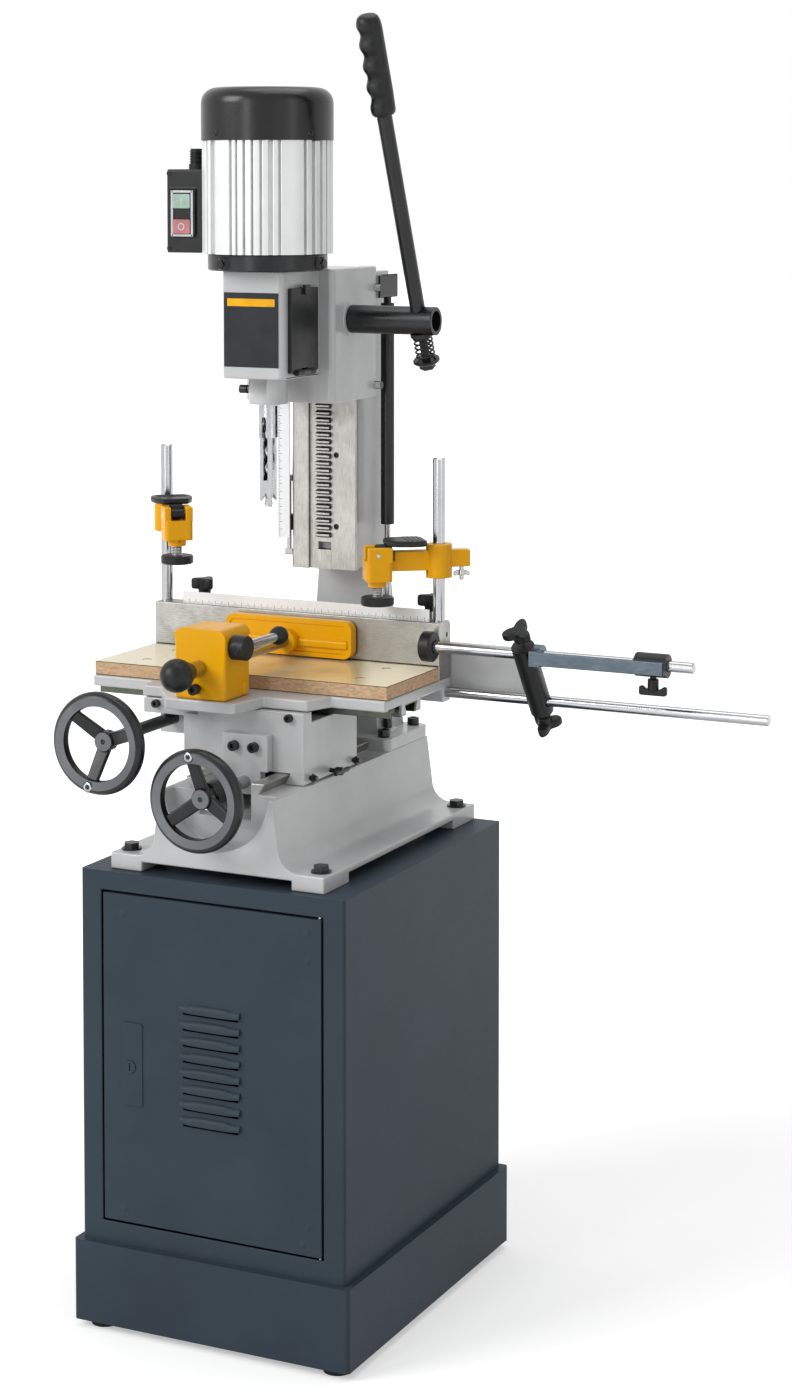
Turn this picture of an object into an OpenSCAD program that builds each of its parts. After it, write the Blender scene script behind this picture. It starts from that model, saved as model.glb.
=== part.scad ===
// Floor-standing hollow-chisel mortiser: cabinet stand, cross-slide table and sliding head.
// Frame: +X to the operator's right, +Y to the back, +Z up; origin on the floor under the
// middle of the cabinet. Millimetres.

/* [Cabinet stand] */
// Height of the rubber feet
foot_h = 10; // [6:1:20]
// Radius of the rubber feet
foot_r = 18; // [14:1:22]
// Radius of the floor bolt hole through each foot
floor_hole_r = 5.5; // [3:0.5:7]
// Floor bolt spacing, left to right
floor_pitch_x = 330; // [290:5:335]
// Floor bolt spacing, front to back
floor_pitch_y = 420; // [380:5:425]
// Width of the plinth
plinth_w = 388; // [376:2:400]
// Depth of the plinth
plinth_d = 478; // [466:2:490]
// Height of the plinth
plinth_h = 103; // [80:1:120]
// Sheet thickness of the plinth and cabinet
sheet = 3; // [2:0.5:4]
// Width of the cabinet
cabinet_w = 370; // [366:2:374]
// Depth of the cabinet
cabinet_d = 460; // [456:2:464]
// Height of the cabinet
cabinet_h = 472; // [455:1:500]
// Width of the door
door_w = 306; // [296:2:310]
// Height of the door
door_h = 415; // [395:1:425]
// Height of the door's lower edge above the cabinet's floor
door_z = 30; // [20:1:35]
// Gap round the door
door_gap = 3; // [3:0.1:3.6]
// Depth of the door's folded edge
door_t = 15; // [12:1:18]
// Number of louvres in the door
louvre_n = 8; // [4:1:9]
// Pitch of the louvres
louvre_pitch = 20; // [17:1:22]
// Length of a louvre
louvre_w = 78; // [50:2:100]

/* [Base casting] */
// Width over the base lugs
base_w = 300; // [290:2:310]
// Length of the base
base_l = 440; // [430:2:446]
// Set-back of the base from the cabinet's middle
base_y = 4; // [0:1:6]
// Height of the base up to its shoulders
base_h = 107; // [100:1:112]
// Width of the base at its shoulders
base_top_w = 160; // [156:1:164]
// Thickness of the lugs
lug_t = 21; // [18:1:24]
// Clear height under the base between the lugs
arch_h = 12; // [8:1:14]
// Radius of the hex bolts in the lugs
lug_bolt_r = 6; // [5:0.5:7]
// Lug bolt spacing, left to right
lug_pitch_x = 268; // [262:2:272]
// Lug bolt spacing, front to back, on a base 440 mm long
lug_pitch_y = 392; // [386:2:398]
// Height of the dovetail ways above the shoulders
way_h = 14; // [12:1:16]
// Half width over the tops of the two ways
way_half = 56; // [54:1:58]
// Half width of the channel between the ways
channel_half = 36; // [34:1:38]
// Radius of the scoop in front of the handwheel
scoop_r = 72; // [68:1:73]

/* [Column] */
// Half width of the column's foot
column_foot_half = 80; // [78:1:80]
// Thickness of the column's foot
column_foot_t = 16; // [12:1:20]
// Front face of the slideway
slide_y = 75; // [75:0.5:76]
// Half width of the slideway
slide_half = 46.5; // [46:0.5:48]
// Half width of the column behind the slideway
neck_half = 38; // [36:1:39]
// Height of the slideway's lower end above the floor
slide_bottom = 933; // [925:1:940]
// Length of the slideway
slide_l = 389; // [380:1:395]

/* [Head] */
// How far the head slides down
head_travel = 100; // [60:5:100]
// Front face of the head
head_front = -120; // [-124:1:-116]
// Half width of the head's nose
nose_half = 44; // [42:1:46]
// Half width of the head round the slideway
head_half = 64; // [62:1:66]
// Height of the head's lower edge above the floor
head_bottom = 1160; // [1158:1:1164]
// Height of the head's top above the floor
head_top = 1331; // [1328:1:1336]
// Distance of the spindle in front of the machine's middle
spindle_y = -77; // [-79:0.5:-75]
// Radius of the motor over its fins
motor_r = 82; // [80:0.5:84]
// Number of cooling fins
fin_n = 40; // [24:2:48]
// Height of the motor body
motor_h = 141; // [130:1:150]
// Height of the fan cover
fan_cover_h = 66; // [60:1:72]
// Height of the motor flange
flange_h = 21; // [18:1:24]
// Side of the square chisel
chisel_s = 16; // [14:0.5:17]
// Length of the chisel below its shank
chisel_l = 80; // [60:1:90]

/* [Feed lever] */
// Tooth module of the feed rack and pinion
feed_module = 3; // [3:0.1:3.1]
// Teeth of the feed pinion
feed_teeth = 32; // [30:1:32]
// Radius of the lever hub
hub_r = 18; // [16:0.5:20]
// Distance of the hub's open end from the machine's middle
hub_end = 186; // [184:1:190]
// Distance of the lever from the machine's middle
lever_x = 163; // [160:1:164]
// Radius of the lever rod
lever_r = 9.5; // [8:0.5:10]
// Length of the lever above its hub
lever_l = 406; // [360:2:420]
// Lean of the lever towards the front at rest, in degrees
lever_lean = 21.5; // [15:0.1:24]
// Curls of the lever spring
spring_turns = 5; // [4:1:6]
// Radius of the spring wire
spring_wire = 1.3; // [1:0.1:1.4]

/* [Cross slides] */
// Distance of the table's middle from the machine's middle at rest
table_x = -46.5; // [-50:0.5:-44]
// Front end of the saddle
saddle_front = -127; // [-130:1:-125]
// Rear end of the saddle
saddle_rear = 20; // [18:1:22]
// Height of the saddle above the base's shoulders
saddle_h = 78; // [76:1:79]
// Radius of both handwheels
wheel_r = 64; // [60:0.5:66]
// Radius of the cross screw
screw_r = 8; // [7:0.5:9]
// Depth of the cross screw below the tops of the ways
screw_drop = 12; // [11:0.5:12]
// Tooth module of the table rack and pinion
table_module = 2; // [1.9:0.1:2]
// Teeth of the table pinion
table_teeth = 20; // [18:1:20]

/* [Table and fence] */
// Length of the table
table_l = 424; // [416:2:432]
// Depth of the wooden table board
board_d = 152; // [146:1:152]
// Thickness of the wooden table board
board_t = 18; // [15:1:19]
// Thickness of the table casting
table_t = 13; // [11:1:15]
// Gap between the saddle's top and the table casting's plate
table_gap = 15; // [15:1:17]
// Thickness of the fence, front to back
fence_t = 36; // [34:1:36]
// Height of the fence above the board
fence_h = 57; // [50:1:60]
// Radius of the hold-down posts
post_r = 8; // [7:0.5:9]
// Height of the hold-down posts above the fence
post_h = 212; // [190:2:215]
// Distance of a post from the end of the fence
post_inset = 8.5; // [8.5:0.5:10]

/* [Clamps and stops] */
// Width of the clamp block
block_w = 73; // [68:1:78]
// Depth of the clamp block, front to back
block_d = 64; // [60:1:68]
// Height of the clamp block
block_h = 89; // [84:1:92]
// Radius of the clamp plunger
plunger_r = 8; // [7:0.5:8.5]
// Width of the clamp's press plate
press_w = 187; // [160:1:200]
// Height of the clamp's press plate
press_h = 49; // [44:1:54]
// Radius of the plunger's ball knob
ball_r = 21; // [17:0.5:21]
// Reach of a hold-down arm from its post to its pad
arm_reach = 81; // [78:0.5:82]
// Height of the right arm's nose above the fence
arm_up = 47; // [44:1:52]
// How much higher the left arm stands
left_arm_up = 38; // [30:1:45]
// Radius of a hold-down pad
pad_r = 21.5; // [18:0.5:22]
// Radius of the stop bars
bar_r = 7; // [6:0.5:7.5]
// Length of the lower stop bar
bar_l = 468; // [420:2:480]
// Length of the upper stop rod
rod_l = 360; // [350:2:370]
// Length of the stop post
post_l = 112; // [104:1:118]

/* [Hidden] */
$fn = 48;
fit = 0.05;
air = 0.3;
top_of_cabinet = foot_h + plinth_h + cabinet_h;
shoulder_z = top_of_cabinet + base_h;
way_z = shoulder_z + way_h;
way_lean = 8;
cabinet_z = foot_h + plinth_h;
cabinet_front = -cabinet_d / 2;
door_x = door_w / 2;
hinge_in = 4;
hinge_x = door_x - hinge_in;
hinge_y = cabinet_front + 6;
pivot_r = 2.5;
latch_x = -114;
latch_z = cabinet_z + 229;
base_front = base_y - base_l / 2;
base_rear = base_y + base_l / 2;
lug_y = lug_pitch_y / 2 * base_l / 440;
foot_front = 104;
foot_bolt_y = [foot_front + 18, base_rear - 12];
column_foot_z = shoulder_z + column_foot_t;
neck_front = 137;
neck_rear = 194;
slide_top = slide_bottom + slide_l;
land_t = 8;
dovetail_t = 23;
rack_half = 10.5;
feed_r = feed_module * feed_teeth / 2;
pinion_y = slide_y - 3 - feed_r;
pinion_z = 1266;
feed_pitch = PI * feed_module;
feed_w = 20;
head_rear = slide_y + dovetail_t + 8;
nose_bottom = head_bottom + 36;
shaft_r = 12;
chamber_x = 32;
chamber_z0 = nose_bottom + 10;
chamber_z1 = head_top - 12;
cover_t = 5;
cover_x = nose_half + air + cover_t;
cover_y = spindle_y + 6;
cover_z = chamber_z0 - 2;
motor_z = head_top + flange_h;
fan_z = motor_z + motor_h;
switch_x = -motor_r;
switch_top = fan_z - 36;
chisel_z = nose_bottom - 33 - 43;
shank_r = 12;
quill_r = 24.5;
gas_x = 58;
gas_y = 146;
gas_r = 9;
gas_rod_r = 4;
gas_bottom = 988;
gas_top = head_top - 36;
gas_rod_top = gas_bottom + 24;
screw_z = way_z - screw_drop;
wheel_y = -261;
wheel_dish = 8.5;
wheel_hub = 16.5;
plate_y = saddle_front - 14;
saddle_top = shoulder_z + saddle_h;
table_r = table_module * table_teeth / 2;
table_pitch = PI * table_module;
side_x = -131;
side_wheel_y = -272;
side_z = saddle_top + table_gap - 10 - table_r;
rack_y = -62;
rack_w = 18;
rail_y = -6;
rail_half = 15;
rail_h = 12;
table_z = saddle_top + table_gap;
board_z = table_z + table_t;
board_top = board_z + board_t;
board_front = -board_d / 2;
table_front = board_front - 5;
table_x0 = table_x - table_l / 2;
table_x1 = table_x + table_l / 2;
fence_y = board_d / 2 + 1;
fence_rear = fence_y + fence_t;
fence_top = board_top + fence_h;
post_y = fence_y + fence_t / 2;
post_left = table_x0 + post_inset;
post_right = table_x1 - post_inset;
knob_x = [post_left + 45, post_right - 22];
tongue_z = board_z;
tongue_t = table_t + 1;
block_y0 = -172;
block_y1 = block_y0 + block_d;
plunger_z = tongue_z + 40;
cam_x = table_x + block_w / 2 + air;
cam_y = block_y0 + 21;
cam_l = 100;
cam_z = plunger_z + 26;
press_back = 2.6;
press_up = 2.6;
press_y1 = fence_y - press_back;
press_t = 14;
ball_y = block_y0 - 56;
arm_z = fence_top + arm_up;
arm_turn_right = 180 + 37;
arm_turn_left = -50;
pin_up = 42;
pin_x = arm_reach + 2;
bar_y = 100;
bar_z = table_z - 5;
bar_x0 = table_x1 - 36;
plate_top = board_top + 26;
stop_x = table_x1 + 130.5;
rod_y = fence_y - 22.2;
rod_z = board_top + 30;
rod_x0 = table_x1 - 4;
post_lean = atan2(bar_y - rod_y, rod_z - bar_z);
sleeve_x = rod_x0 + rod_l - 75.5;
spring_r = 11.5;
spring_low = -53;
spring_top = -20;
spring_climb = spring_top - spring_low - 2 * spring_wire;
rings = 8 * spring_turns;

steel = "silver";
iron = "lightgray";
dark = "#2b2b2d";
yellow = "orange";
slate = "#3c464e";

// ---- shapes that repeat ----
module block(x0, x1, y0, y1, z0, z1) {
    translate([x0, y0, z0]) cube([x1 - x0, y1 - y0, z1 - z0]);
}
module bar_x(r, x0, x1, y, z) {
    translate([x0, y, z]) rotate([0, 90, 0]) cylinder(r = r, h = x1 - x0);
}
module bar_ya(r, y0, y1, x, z) {
    translate([x, y1, z]) rotate([90, 0, 0]) cylinder(r = r, h = y1 - y0);
}
module bar_up(r, z0, z1, x, y) {
    translate([x, y, z0]) cylinder(r = r, h = z1 - z0);
}
module rounded(w, d, r) {
    square([w - 2 * r, d], center = true);
    square([w, d - 2 * r], center = true);
    for (sx = [-1, 1], sy = [-1, 1])
        translate([sx * (w / 2 - r), sy * (d / 2 - r)]) circle(r = r);
}
module slab(w, d, h, r) {
    linear_extrude(h) rounded(w, d, r);
}
// A plate standing in the XZ plane, thickness towards +Y
module upright(w, h, t, r) {
    rotate([90, 0, 0]) translate([0, 0, -t]) linear_extrude(t) rounded(w, h, r);
}
module hexagon(across, h) {
    cylinder(r = across / sqrt(3), h = h, $fn = 6);
}
// A hex-head bolt on a round collar: z = 0 under the collar, shank downwards
module hex_bolt(r, l) {
    cylinder(r = 2.1 * r, h = 0.35 * r);
    translate([0, 0, 0.35 * r]) hexagon(3 * r, 1.1 * r);
    translate([0, 0, -l]) cylinder(r = r, h = l);
}
// A socket-head screw: z = 0 under the head, shank downwards (l = 0: head only)
module socket_screw(r, l) {
    difference() {
        cylinder(r = 1.6 * r, h = 2 * r);
        translate([0, 0, r]) hexagon(1.6 * r, r + 1);
    }
    if (l > 0) translate([0, 0, -l]) cylinder(r = r, h = l);
}
// Three-lobed hand knob, z = 0 at its lower face
module tri_knob(r, h) {
    linear_extrude(h) {
        circle(r = 0.55 * r);
        for (a = [90 : 120 : 330]) rotate(a) {
            translate([0.66 * r, 0]) circle(r = 0.34 * r);
            translate([0, -0.22 * r]) square([0.7 * r, 0.44 * r]);
        }
    }
}
// Six-lobed star knob, z = 0 at its lower face
module star_knob(r, h) {
    linear_extrude(h) {
        circle(r = 0.78 * r);
        for (a = [0 : 60 : 300]) rotate(a) translate([0.76 * r, 0]) circle(r = 0.24 * r);
    }
}
// Involute tooth point at radius r for a gear with base radius rb
function roll(r, rb) = acos(min(1, rb / r));
function inv(a) = tan(a) * 180 / PI - a;
function flank(r, rb, r0, half) = half + inv(roll(r0, rb)) - inv(roll(r, rb));
module gear_2d(m, n) {
    pitch = m * n / 2;
    rb = pitch * cos(20);
    half = 90 / n - 360 * 0.06 / (2 * PI * n);
    root = pitch - 1.25 * m;
    radii = [rb + 0.02, (rb + pitch) / 2, pitch, pitch + 0.55 * m, pitch + m - 0.1];
    circle(r = root, $fn = 4 * n);
    for (i = [0 : n - 1]) rotate(i * 360 / n)
        polygon(concat(
            [[(root - m) * cos(flank(rb + 0.02, rb, pitch, half)),
                (root - m) * sin(flank(rb + 0.02, rb, pitch, half))]],
            [for (r = radii) [r * cos(flank(r, rb, pitch, half)),
                r * sin(flank(r, rb, pitch, half))]],
            [for (k = [4 : -1 : 0]) [radii[k] * cos(-flank(radii[k], rb, pitch, half)),
                radii[k] * sin(-flank(radii[k], rb, pitch, half))]],
            [[(root - m) * cos(-flank(rb + 0.02, rb, pitch, half)),
                (root - m) * sin(-flank(rb + 0.02, rb, pitch, half))]]));
}
// Rack: teeth point along -Y from a body of depth d, gaps centred on x = 0, pitch line y = 0
module rack_2d(m, n0, n1, d) {
    p = PI * m;
    slope = m * tan(20);
    translate([(n0 - 0.5) * p, 1.25 * m]) square([(n1 - n0 + 1) * p, d - 1.25 * m]);
    for (i = [n0 : n1 - 1]) translate([(i + 0.5) * p, 0])
        polygon([[-p / 4 - 1.25 * slope + 0.1, 1.25 * m + 0.01], [-p / 4 + slope + 0.1, -m + 0.1],
            [p / 4 - slope - 0.1, -m + 0.1], [p / 4 + 1.25 * slope - 0.1, 1.25 * m + 0.01]]);
}
// Half of a dovetail: local X across, Y up; the root is narrower than the top
module dovetail(half, h, lean, c) {
    polygon([[-half + lean - c, -1], [half - lean + c, -1], [half - lean + c, 0],
        [half + c, h + c], [-half - c, h + c], [-half + lean - c, 0]]);
}
module handwheel(r, bore, turn) {
    rim = 9;
    mid = wheel_dish + wheel_hub / 2;
    lean = atan2(mid - 1, r - rim - 8);
    difference() {
        union() {
            rotate_extrude($fn = 96) translate([r - rim, 0]) {
                scale([1, 1.1]) circle(r = rim);
            }
            for (a = [0 : 120 : 240]) rotate(turn + a) {
                translate([8, 0, -mid]) rotate([0, -lean, 0])
                    translate([0, -7, -4]) cube([r - rim - 6, 14, 8]);
            }
            translate([0, 0, -wheel_dish - wheel_hub]) cylinder(r = 13, h = wheel_hub);
            rotate(turn) translate([r - rim, 0, -6]) cylinder(r = 7, h = 15);
        }
        rotate(turn) translate([r - rim, 0, -10]) cylinder(r = 3.5, h = 30);
        translate([0, 0, -wheel_dish - wheel_hub - 1]) cylinder(r = bore, h = wheel_hub - 2);
    }
}

// ---- cabinet ----
module cabinet_feet() {
    color(dark) for (sx = [-1, 1], sy = [-1, 1])
        translate([sx * floor_pitch_x / 2, sy * floor_pitch_y / 2, 0]) difference() {
            cylinder(r = foot_r, h = foot_h);
            translate([0, 0, -1]) cylinder(r = floor_hole_r, h = foot_h + 2);
        }
}
module cabinet_plinth() {
    color(slate) translate([0, 0, foot_h]) difference() {
        slab(plinth_w, plinth_d, plinth_h, 6);
        translate([0, 0, sheet]) slab(plinth_w - 2 * sheet, plinth_d - 2 * sheet,
            plinth_h - 2 * sheet, 3);
        translate([0, 0, -1]) slab(plinth_w - 110, plinth_d - 110, sheet + 2, 10);
        for (sx = [-1, 1], sy = [-1, 1])
            translate([sx * floor_pitch_x / 2, sy * floor_pitch_y / 2, -1])
                cylinder(r = floor_hole_r, h = sheet + 2);
    }
}
module cabinet_shell() {
    in_w = cabinet_w - 2 * sheet;
    keeper = -door_x - door_gap;
    keeper_y = cabinet_front + door_t + 1;
    color(slate) difference() {
        union() {
            difference() {
                translate([0, 0, cabinet_z]) slab(cabinet_w, cabinet_d, cabinet_h, 4);
                block(-in_w / 2, in_w / 2, cabinet_front + sheet, cabinet_d / 2 - sheet,
                    cabinet_z + sheet, top_of_cabinet - sheet);
                block(keeper, -keeper, cabinet_front - 1, cabinet_front + sheet + 1,
                    cabinet_z + door_z - door_gap, cabinet_z + door_z + door_h + door_gap);
            }
            block(-in_w / 2 - 1, keeper + 6, keeper_y, keeper_y + sheet,
                cabinet_z + 60, cabinet_z + door_h - 40);
        }
        for (sx = [-1, 1], sy = [-1, 1])
            bar_up(lug_bolt_r + 0.5, top_of_cabinet - sheet - 1, top_of_cabinet + 1,
                sx * lug_pitch_x / 2, base_y + sy * lug_y);
    }
}
module door_pivots() {
    z0 = cabinet_z + door_z;
    color(steel) for (top = [0, 1]) {
        edge = top == 1 ? z0 + door_h + door_gap : z0 - door_gap;
        dir = top == 1 ? 1 : -1;
        translate([hinge_x, hinge_y, edge]) {
            translate([0, 0, top == 1 ? -12 : -3]) cylinder(r = pivot_r, h = 15);
            translate([-6, -3, top == 1 ? 0 : -3]) cube([in_side() - hinge_x + 6, 9, 3]);
        }
    }
}
function in_side() = cabinet_w / 2 - sheet;
module cabinet_door() {
    z0 = cabinet_z + door_z;
    zc = z0 + door_h / 2;
    color(slate) difference() {
        union() {
            difference() {
                translate([0, cabinet_front, zc]) upright(door_w, door_h, door_t, 1.5);
                block(-door_x + 2, door_x - 2, cabinet_front + 2, cabinet_front + door_t + 1,
                    z0 + 2, z0 + door_h - 2);
            }
            for (z = [z0, z0 + door_h - 14])
                block(hinge_x - 10, door_x, cabinet_front + 1, cabinet_front + door_t, z, z + 14);
            translate([latch_x + 3, cabinet_front - 1.5, latch_z + 3]) upright(29, 105, 3, 3);
        }
        for (i = [0 : louvre_n - 1])
            block(-louvre_w / 2, louvre_w / 2, cabinet_front - 1, cabinet_front + 3,
                zc + (i - (louvre_n - 1) / 2) * louvre_pitch - 3,
                zc + (i - (louvre_n - 1) / 2) * louvre_pitch + 2);
        bar_up(pivot_r + fit, z0 - 1, z0 + 12, hinge_x, hinge_y);
        bar_up(pivot_r + fit, z0 + door_h - 12, z0 + door_h + 1, hinge_x, hinge_y);
        bar_ya(8 + fit, cabinet_front - 4, cabinet_front + 4, latch_x, latch_z);
    }
    color(slate) for (i = [0 : louvre_n - 1]) intersection() {
        z = zc + (i - (louvre_n - 1) / 2) * louvre_pitch;
        difference() {
            bar_x(9, -louvre_w / 2 - 3, louvre_w / 2 + 3, cabinet_front + 4, z + 2);
            bar_x(7, -louvre_w / 2, louvre_w / 2, cabinet_front + 4, z + 2);
        }
        block(-louvre_w, louvre_w, cabinet_front - 6, cabinet_front, z + 2, z + 12);
    }
}
module door_latch() {
    cam_back = cabinet_front + door_t + 1 + sheet + 1 + 3;
    color(steel) {
        difference() {
            bar_ya(8, cabinet_front - 3, cam_back, latch_x, latch_z);
            block(latch_x - 1, latch_x + 1, cabinet_front - 4, cabinet_front - 1,
                latch_z - 5, latch_z + 5);
        }
        block(latch_x - 7, latch_x + 7, cam_back - 3, cam_back, latch_z - 44, latch_z);
    }
}

// ---- base, column ----
module base_profile() {
    half = base_w / 2;
    top = base_top_w / 2;
    arc = 26;
    polygon(concat(
        [[-half, 0], [half, 0], [half, lug_t]],
        [for (a = [-90 : -11.25 : -168.75]) [top + 8 + arc + arc * cos(a),
            lug_t + arc + arc * sin(a)]],
        [[top, base_h], [-top, base_h]],
        [for (a = [-11.25 : -11.25 : -90]) [-top - 8 - arc + arc * cos(a),
            lug_t + arc + arc * sin(a)]],
        [[-half, lug_t]]));
}
module base_casting() {
    lug_w = 45;
    lug_l = 68;
    nut_y = -12;
    color(iron) difference() {
        union() {
            translate([0, base_rear, top_of_cabinet]) rotate([90, 0, 0])
                linear_extrude(base_l) base_profile();
            translate([0, foot_front - 2, shoulder_z]) rotate([90, 0, 0])
                linear_extrude(foot_front - 2 - base_front)
                    dovetail(way_half, way_h, way_lean, 0);
        }
        block(-base_w, base_w, base_front + lug_l, base_rear - lug_l,
            top_of_cabinet - 1, top_of_cabinet + arch_h);
        block(-base_w / 2 + lug_w, base_w / 2 - lug_w, base_front - 1, base_rear + 1,
            top_of_cabinet - 1, top_of_cabinet + arch_h);
        block(-64, 64, base_front + 50, base_rear - 12, top_of_cabinet - 1, shoulder_z - 45);
        bar_ya(scoop_r, base_front - 1, base_front + 24, 0, screw_z);
        block(-scoop_r, scoop_r, base_front - 1, base_front + 24, screw_z, way_z + 1);
        difference() {
            block(-channel_half, channel_half, base_front - 1, foot_front + 1,
                shoulder_z - 32, way_z + 1);
            difference() {
                block(-20, 20, nut_y, nut_y + 26, shoulder_z - 34, screw_z + 11);
                bar_ya(screw_r + fit, nut_y - 1, nut_y + 27, 0, screw_z);
            }
        }
        for (sx = [-1, 1], sy = [-1, 1])
            bar_up(lug_bolt_r + 0.5, top_of_cabinet - 1, top_of_cabinet + lug_t + 1,
                sx * lug_pitch_x / 2, base_y + sy * lug_y);
        for (sx = [-1, 1], y = foot_bolt_y)
            bar_up(5, shoulder_z - 30, shoulder_z + 1, sx * 64, y);
    }
}
module machine_bolts() {
    color(dark) {
        for (sx = [-1, 1], sy = [-1, 1])
            translate([sx * lug_pitch_x / 2, base_y + sy * lug_y,
                top_of_cabinet + lug_t]) {
                hex_bolt(lug_bolt_r, lug_t + sheet + 10);
                translate([0, 0, -lug_t - sheet - 8]) hexagon(3 * lug_bolt_r, 8);
            }
        for (sx = [-1, 1], y = foot_bolt_y)
            translate([sx * 64, y, column_foot_z]) socket_screw(5, column_foot_t + 26);
        for (z = [990, 1084])
            translate([18, slide_y, z]) rotate([90, 0, 0]) difference() {
                translate([0, 0, -18]) cylinder(r = 4, h = 18);
                translate([0, 0, -2]) hexagon(4, 3);
            }
    }
}
module slide_outline(c) {
    polygon([[-slide_half - c, slide_y - c], [slide_half + c, slide_y - c],
        [slide_half + c, slide_y + land_t], [neck_half + c, slide_y + dovetail_t],
        [neck_half + c, neck_rear - 4], [-neck_half - c, neck_rear - 4],
        [-neck_half - c, slide_y + dovetail_t], [-slide_half - c, slide_y + land_t]]);
}
module column() {
    mid_y = (foot_front + base_rear + 2) / 2;
    color(iron) difference() {
        union() {
            translate([0, mid_y, shoulder_z])
                slab(2 * column_foot_half, base_rear + 2 - foot_front, column_foot_t, 10);
            hull() {
                block(-52, 52, 128, 208, column_foot_z - 1, column_foot_z);
                block(-neck_half - 2, neck_half + 2, neck_front, neck_rear - 4,
                    slide_bottom - 10, slide_bottom);
            }
            translate([0, 0, slide_bottom]) linear_extrude(slide_l) slide_outline(0);
            translate([0, slide_y + 15, slide_top]) slab(2 * neck_half, 24, 8, 10);
            block(gas_x - 9, gas_x + 9, gas_y - 9, gas_y + 9, column_foot_z - 1, column_foot_z + 8);
            depth_stop_rod();
        }
        block(-rack_half - 12, -rack_half, slide_y - 1, slide_y + 5, slide_bottom - 1,
            slide_top - 12);
        block(-rack_half, rack_half, slide_y - 1, slide_y + 15, slide_bottom - 1, slide_top - 12);
        for (z = [990, 1084]) bar_ya(4, slide_y - 1, slide_y + 18, 18, z);
        for (sx = [-1, 1], y = foot_bolt_y)
            bar_up(5, shoulder_z - 1, column_foot_z + 1, sx * 64, y);
        bar_up(gas_rod_r, column_foot_z, column_foot_z + 9, gas_x, gas_y);
    }
}
module feed_rack() {
    below = floor((pinion_z - slide_bottom - 34) / feed_pitch);
    above = floor((slide_top - 16 - pinion_z) / feed_pitch);
    color("darkgray") {
        translate([-rack_half, pinion_y + feed_r, pinion_z]) rotate([90, 0, 90])
            linear_extrude(2 * rack_half) rotate(90) mirror([0, 1])
                rack_2d(feed_module, -below, above, slide_y + 15 - pinion_y - feed_r);
        block(-rack_half, rack_half, slide_y, slide_y + 15, slide_bottom, slide_bottom + 26);
    }
}
module depth_scale() {
    left = -slide_half - 1.5;
    low = head_bottom - 187;
    color("white") block(left - 17, left, slide_y - 6, slide_y - 4, low, head_bottom);
    color(steel) block(left - 15, left - 2, slide_y - 4, slide_y, head_bottom - 8, head_bottom);
}
module depth_stop_rod() {
    left = -slide_half;
    bar_up(3, slide_bottom + 16, slide_bottom + 122, left - 7, slide_y + 4);
    for (z = [slide_bottom + 16, slide_bottom + 114])
        block(left - 12, left + 1, slide_y + 1, slide_y + 7.5, z, z + 8);
}
module depth_stop() {
    left = -slide_half;
    z = slide_bottom + 49;
    color(dark) difference() {
        block(left - 12, left - air, slide_y - 1, slide_y + 7.5, z, z + 21);
        bar_up(3 + fit, z - 1, z + 22, left - 7, slide_y + 4);
    }
    color(steel) bar_x(3.5, left - 20, left - 12, slide_y + 3.5, z + 10);
}

// ---- counterbalance ----
module gas_rod() {
    color(steel) bar_up(gas_rod_r, column_foot_z, gas_rod_top, gas_x, gas_y);
    color(dark) difference() {
        bar_up(6, column_foot_z + 8, column_foot_z + 24, gas_x, gas_y);
        bar_up(gas_rod_r, column_foot_z + 7, column_foot_z + 25, gas_x, gas_y);
    }
}

// ---- cross slides ----
module saddle() {
    half = base_top_w / 2 - 4;
    wing_x0 = side_x - 20;
    lip_y = saddle_front + 12;
    lip_z = tongue_z - tongue_t - 1;
    color(iron) difference() {
        union() {
            block(-half, half, saddle_front, saddle_rear, shoulder_z + air, saddle_top);
            block(-96, -half, saddle_front, saddle_rear, shoulder_z + 26, saddle_top);
            block(wing_x0, -96, -92, -18, side_z - 20, saddle_top);
            block(-half, half, saddle_front, saddle_front + 22, saddle_top - 1, lip_z);
            block(wing_x0 - 11, -half, lip_y, -91, side_z + screw_r + 1, lip_z);
            translate([-96, rail_y, saddle_top]) rotate([90, 0, 90])
                linear_extrude(96 + half) dovetail(rail_half, rail_h, 5, 0);
        }
        translate([0, saddle_rear + 1, shoulder_z]) rotate([90, 0, 0])
            linear_extrude(saddle_rear - saddle_front + 2)
                dovetail(way_half, way_h, way_lean, air);
        block(side_x - table_r - 4, side_x + table_r + 4, rack_y - 2, rack_y + rack_w + 2,
            side_z - table_r - 4, saddle_top + 1);
        bar_ya(screw_r + fit, -93, -17, side_x, side_z);
        bar_ya(screw_r + 1, saddle_front - 1, saddle_rear + 1, 0, screw_z);
        for (x = [-14, 14]) bar_ya(4, saddle_front - 1, saddle_front + 16, x, shoulder_z + 47);
        bar_x(3, half - 12, half + 1, -55, shoulder_z + 7);
    }
    color(dark) for (y = [-110, 8]) translate([half, y, shoulder_z + 8]) rotate([0, 90, 0]) {
        cylinder(r = 3, h = 10);
        translate([0, 0, 3]) hexagon(9, 4);
    }
    color(dark) for (p = [[side_x - 11, lip_y], [half - 20, saddle_front]])
        translate([p[0], p[1], lip_z - 6.5]) rotate([90, 0, 0]) socket_screw(3.2, 0);
}
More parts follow.
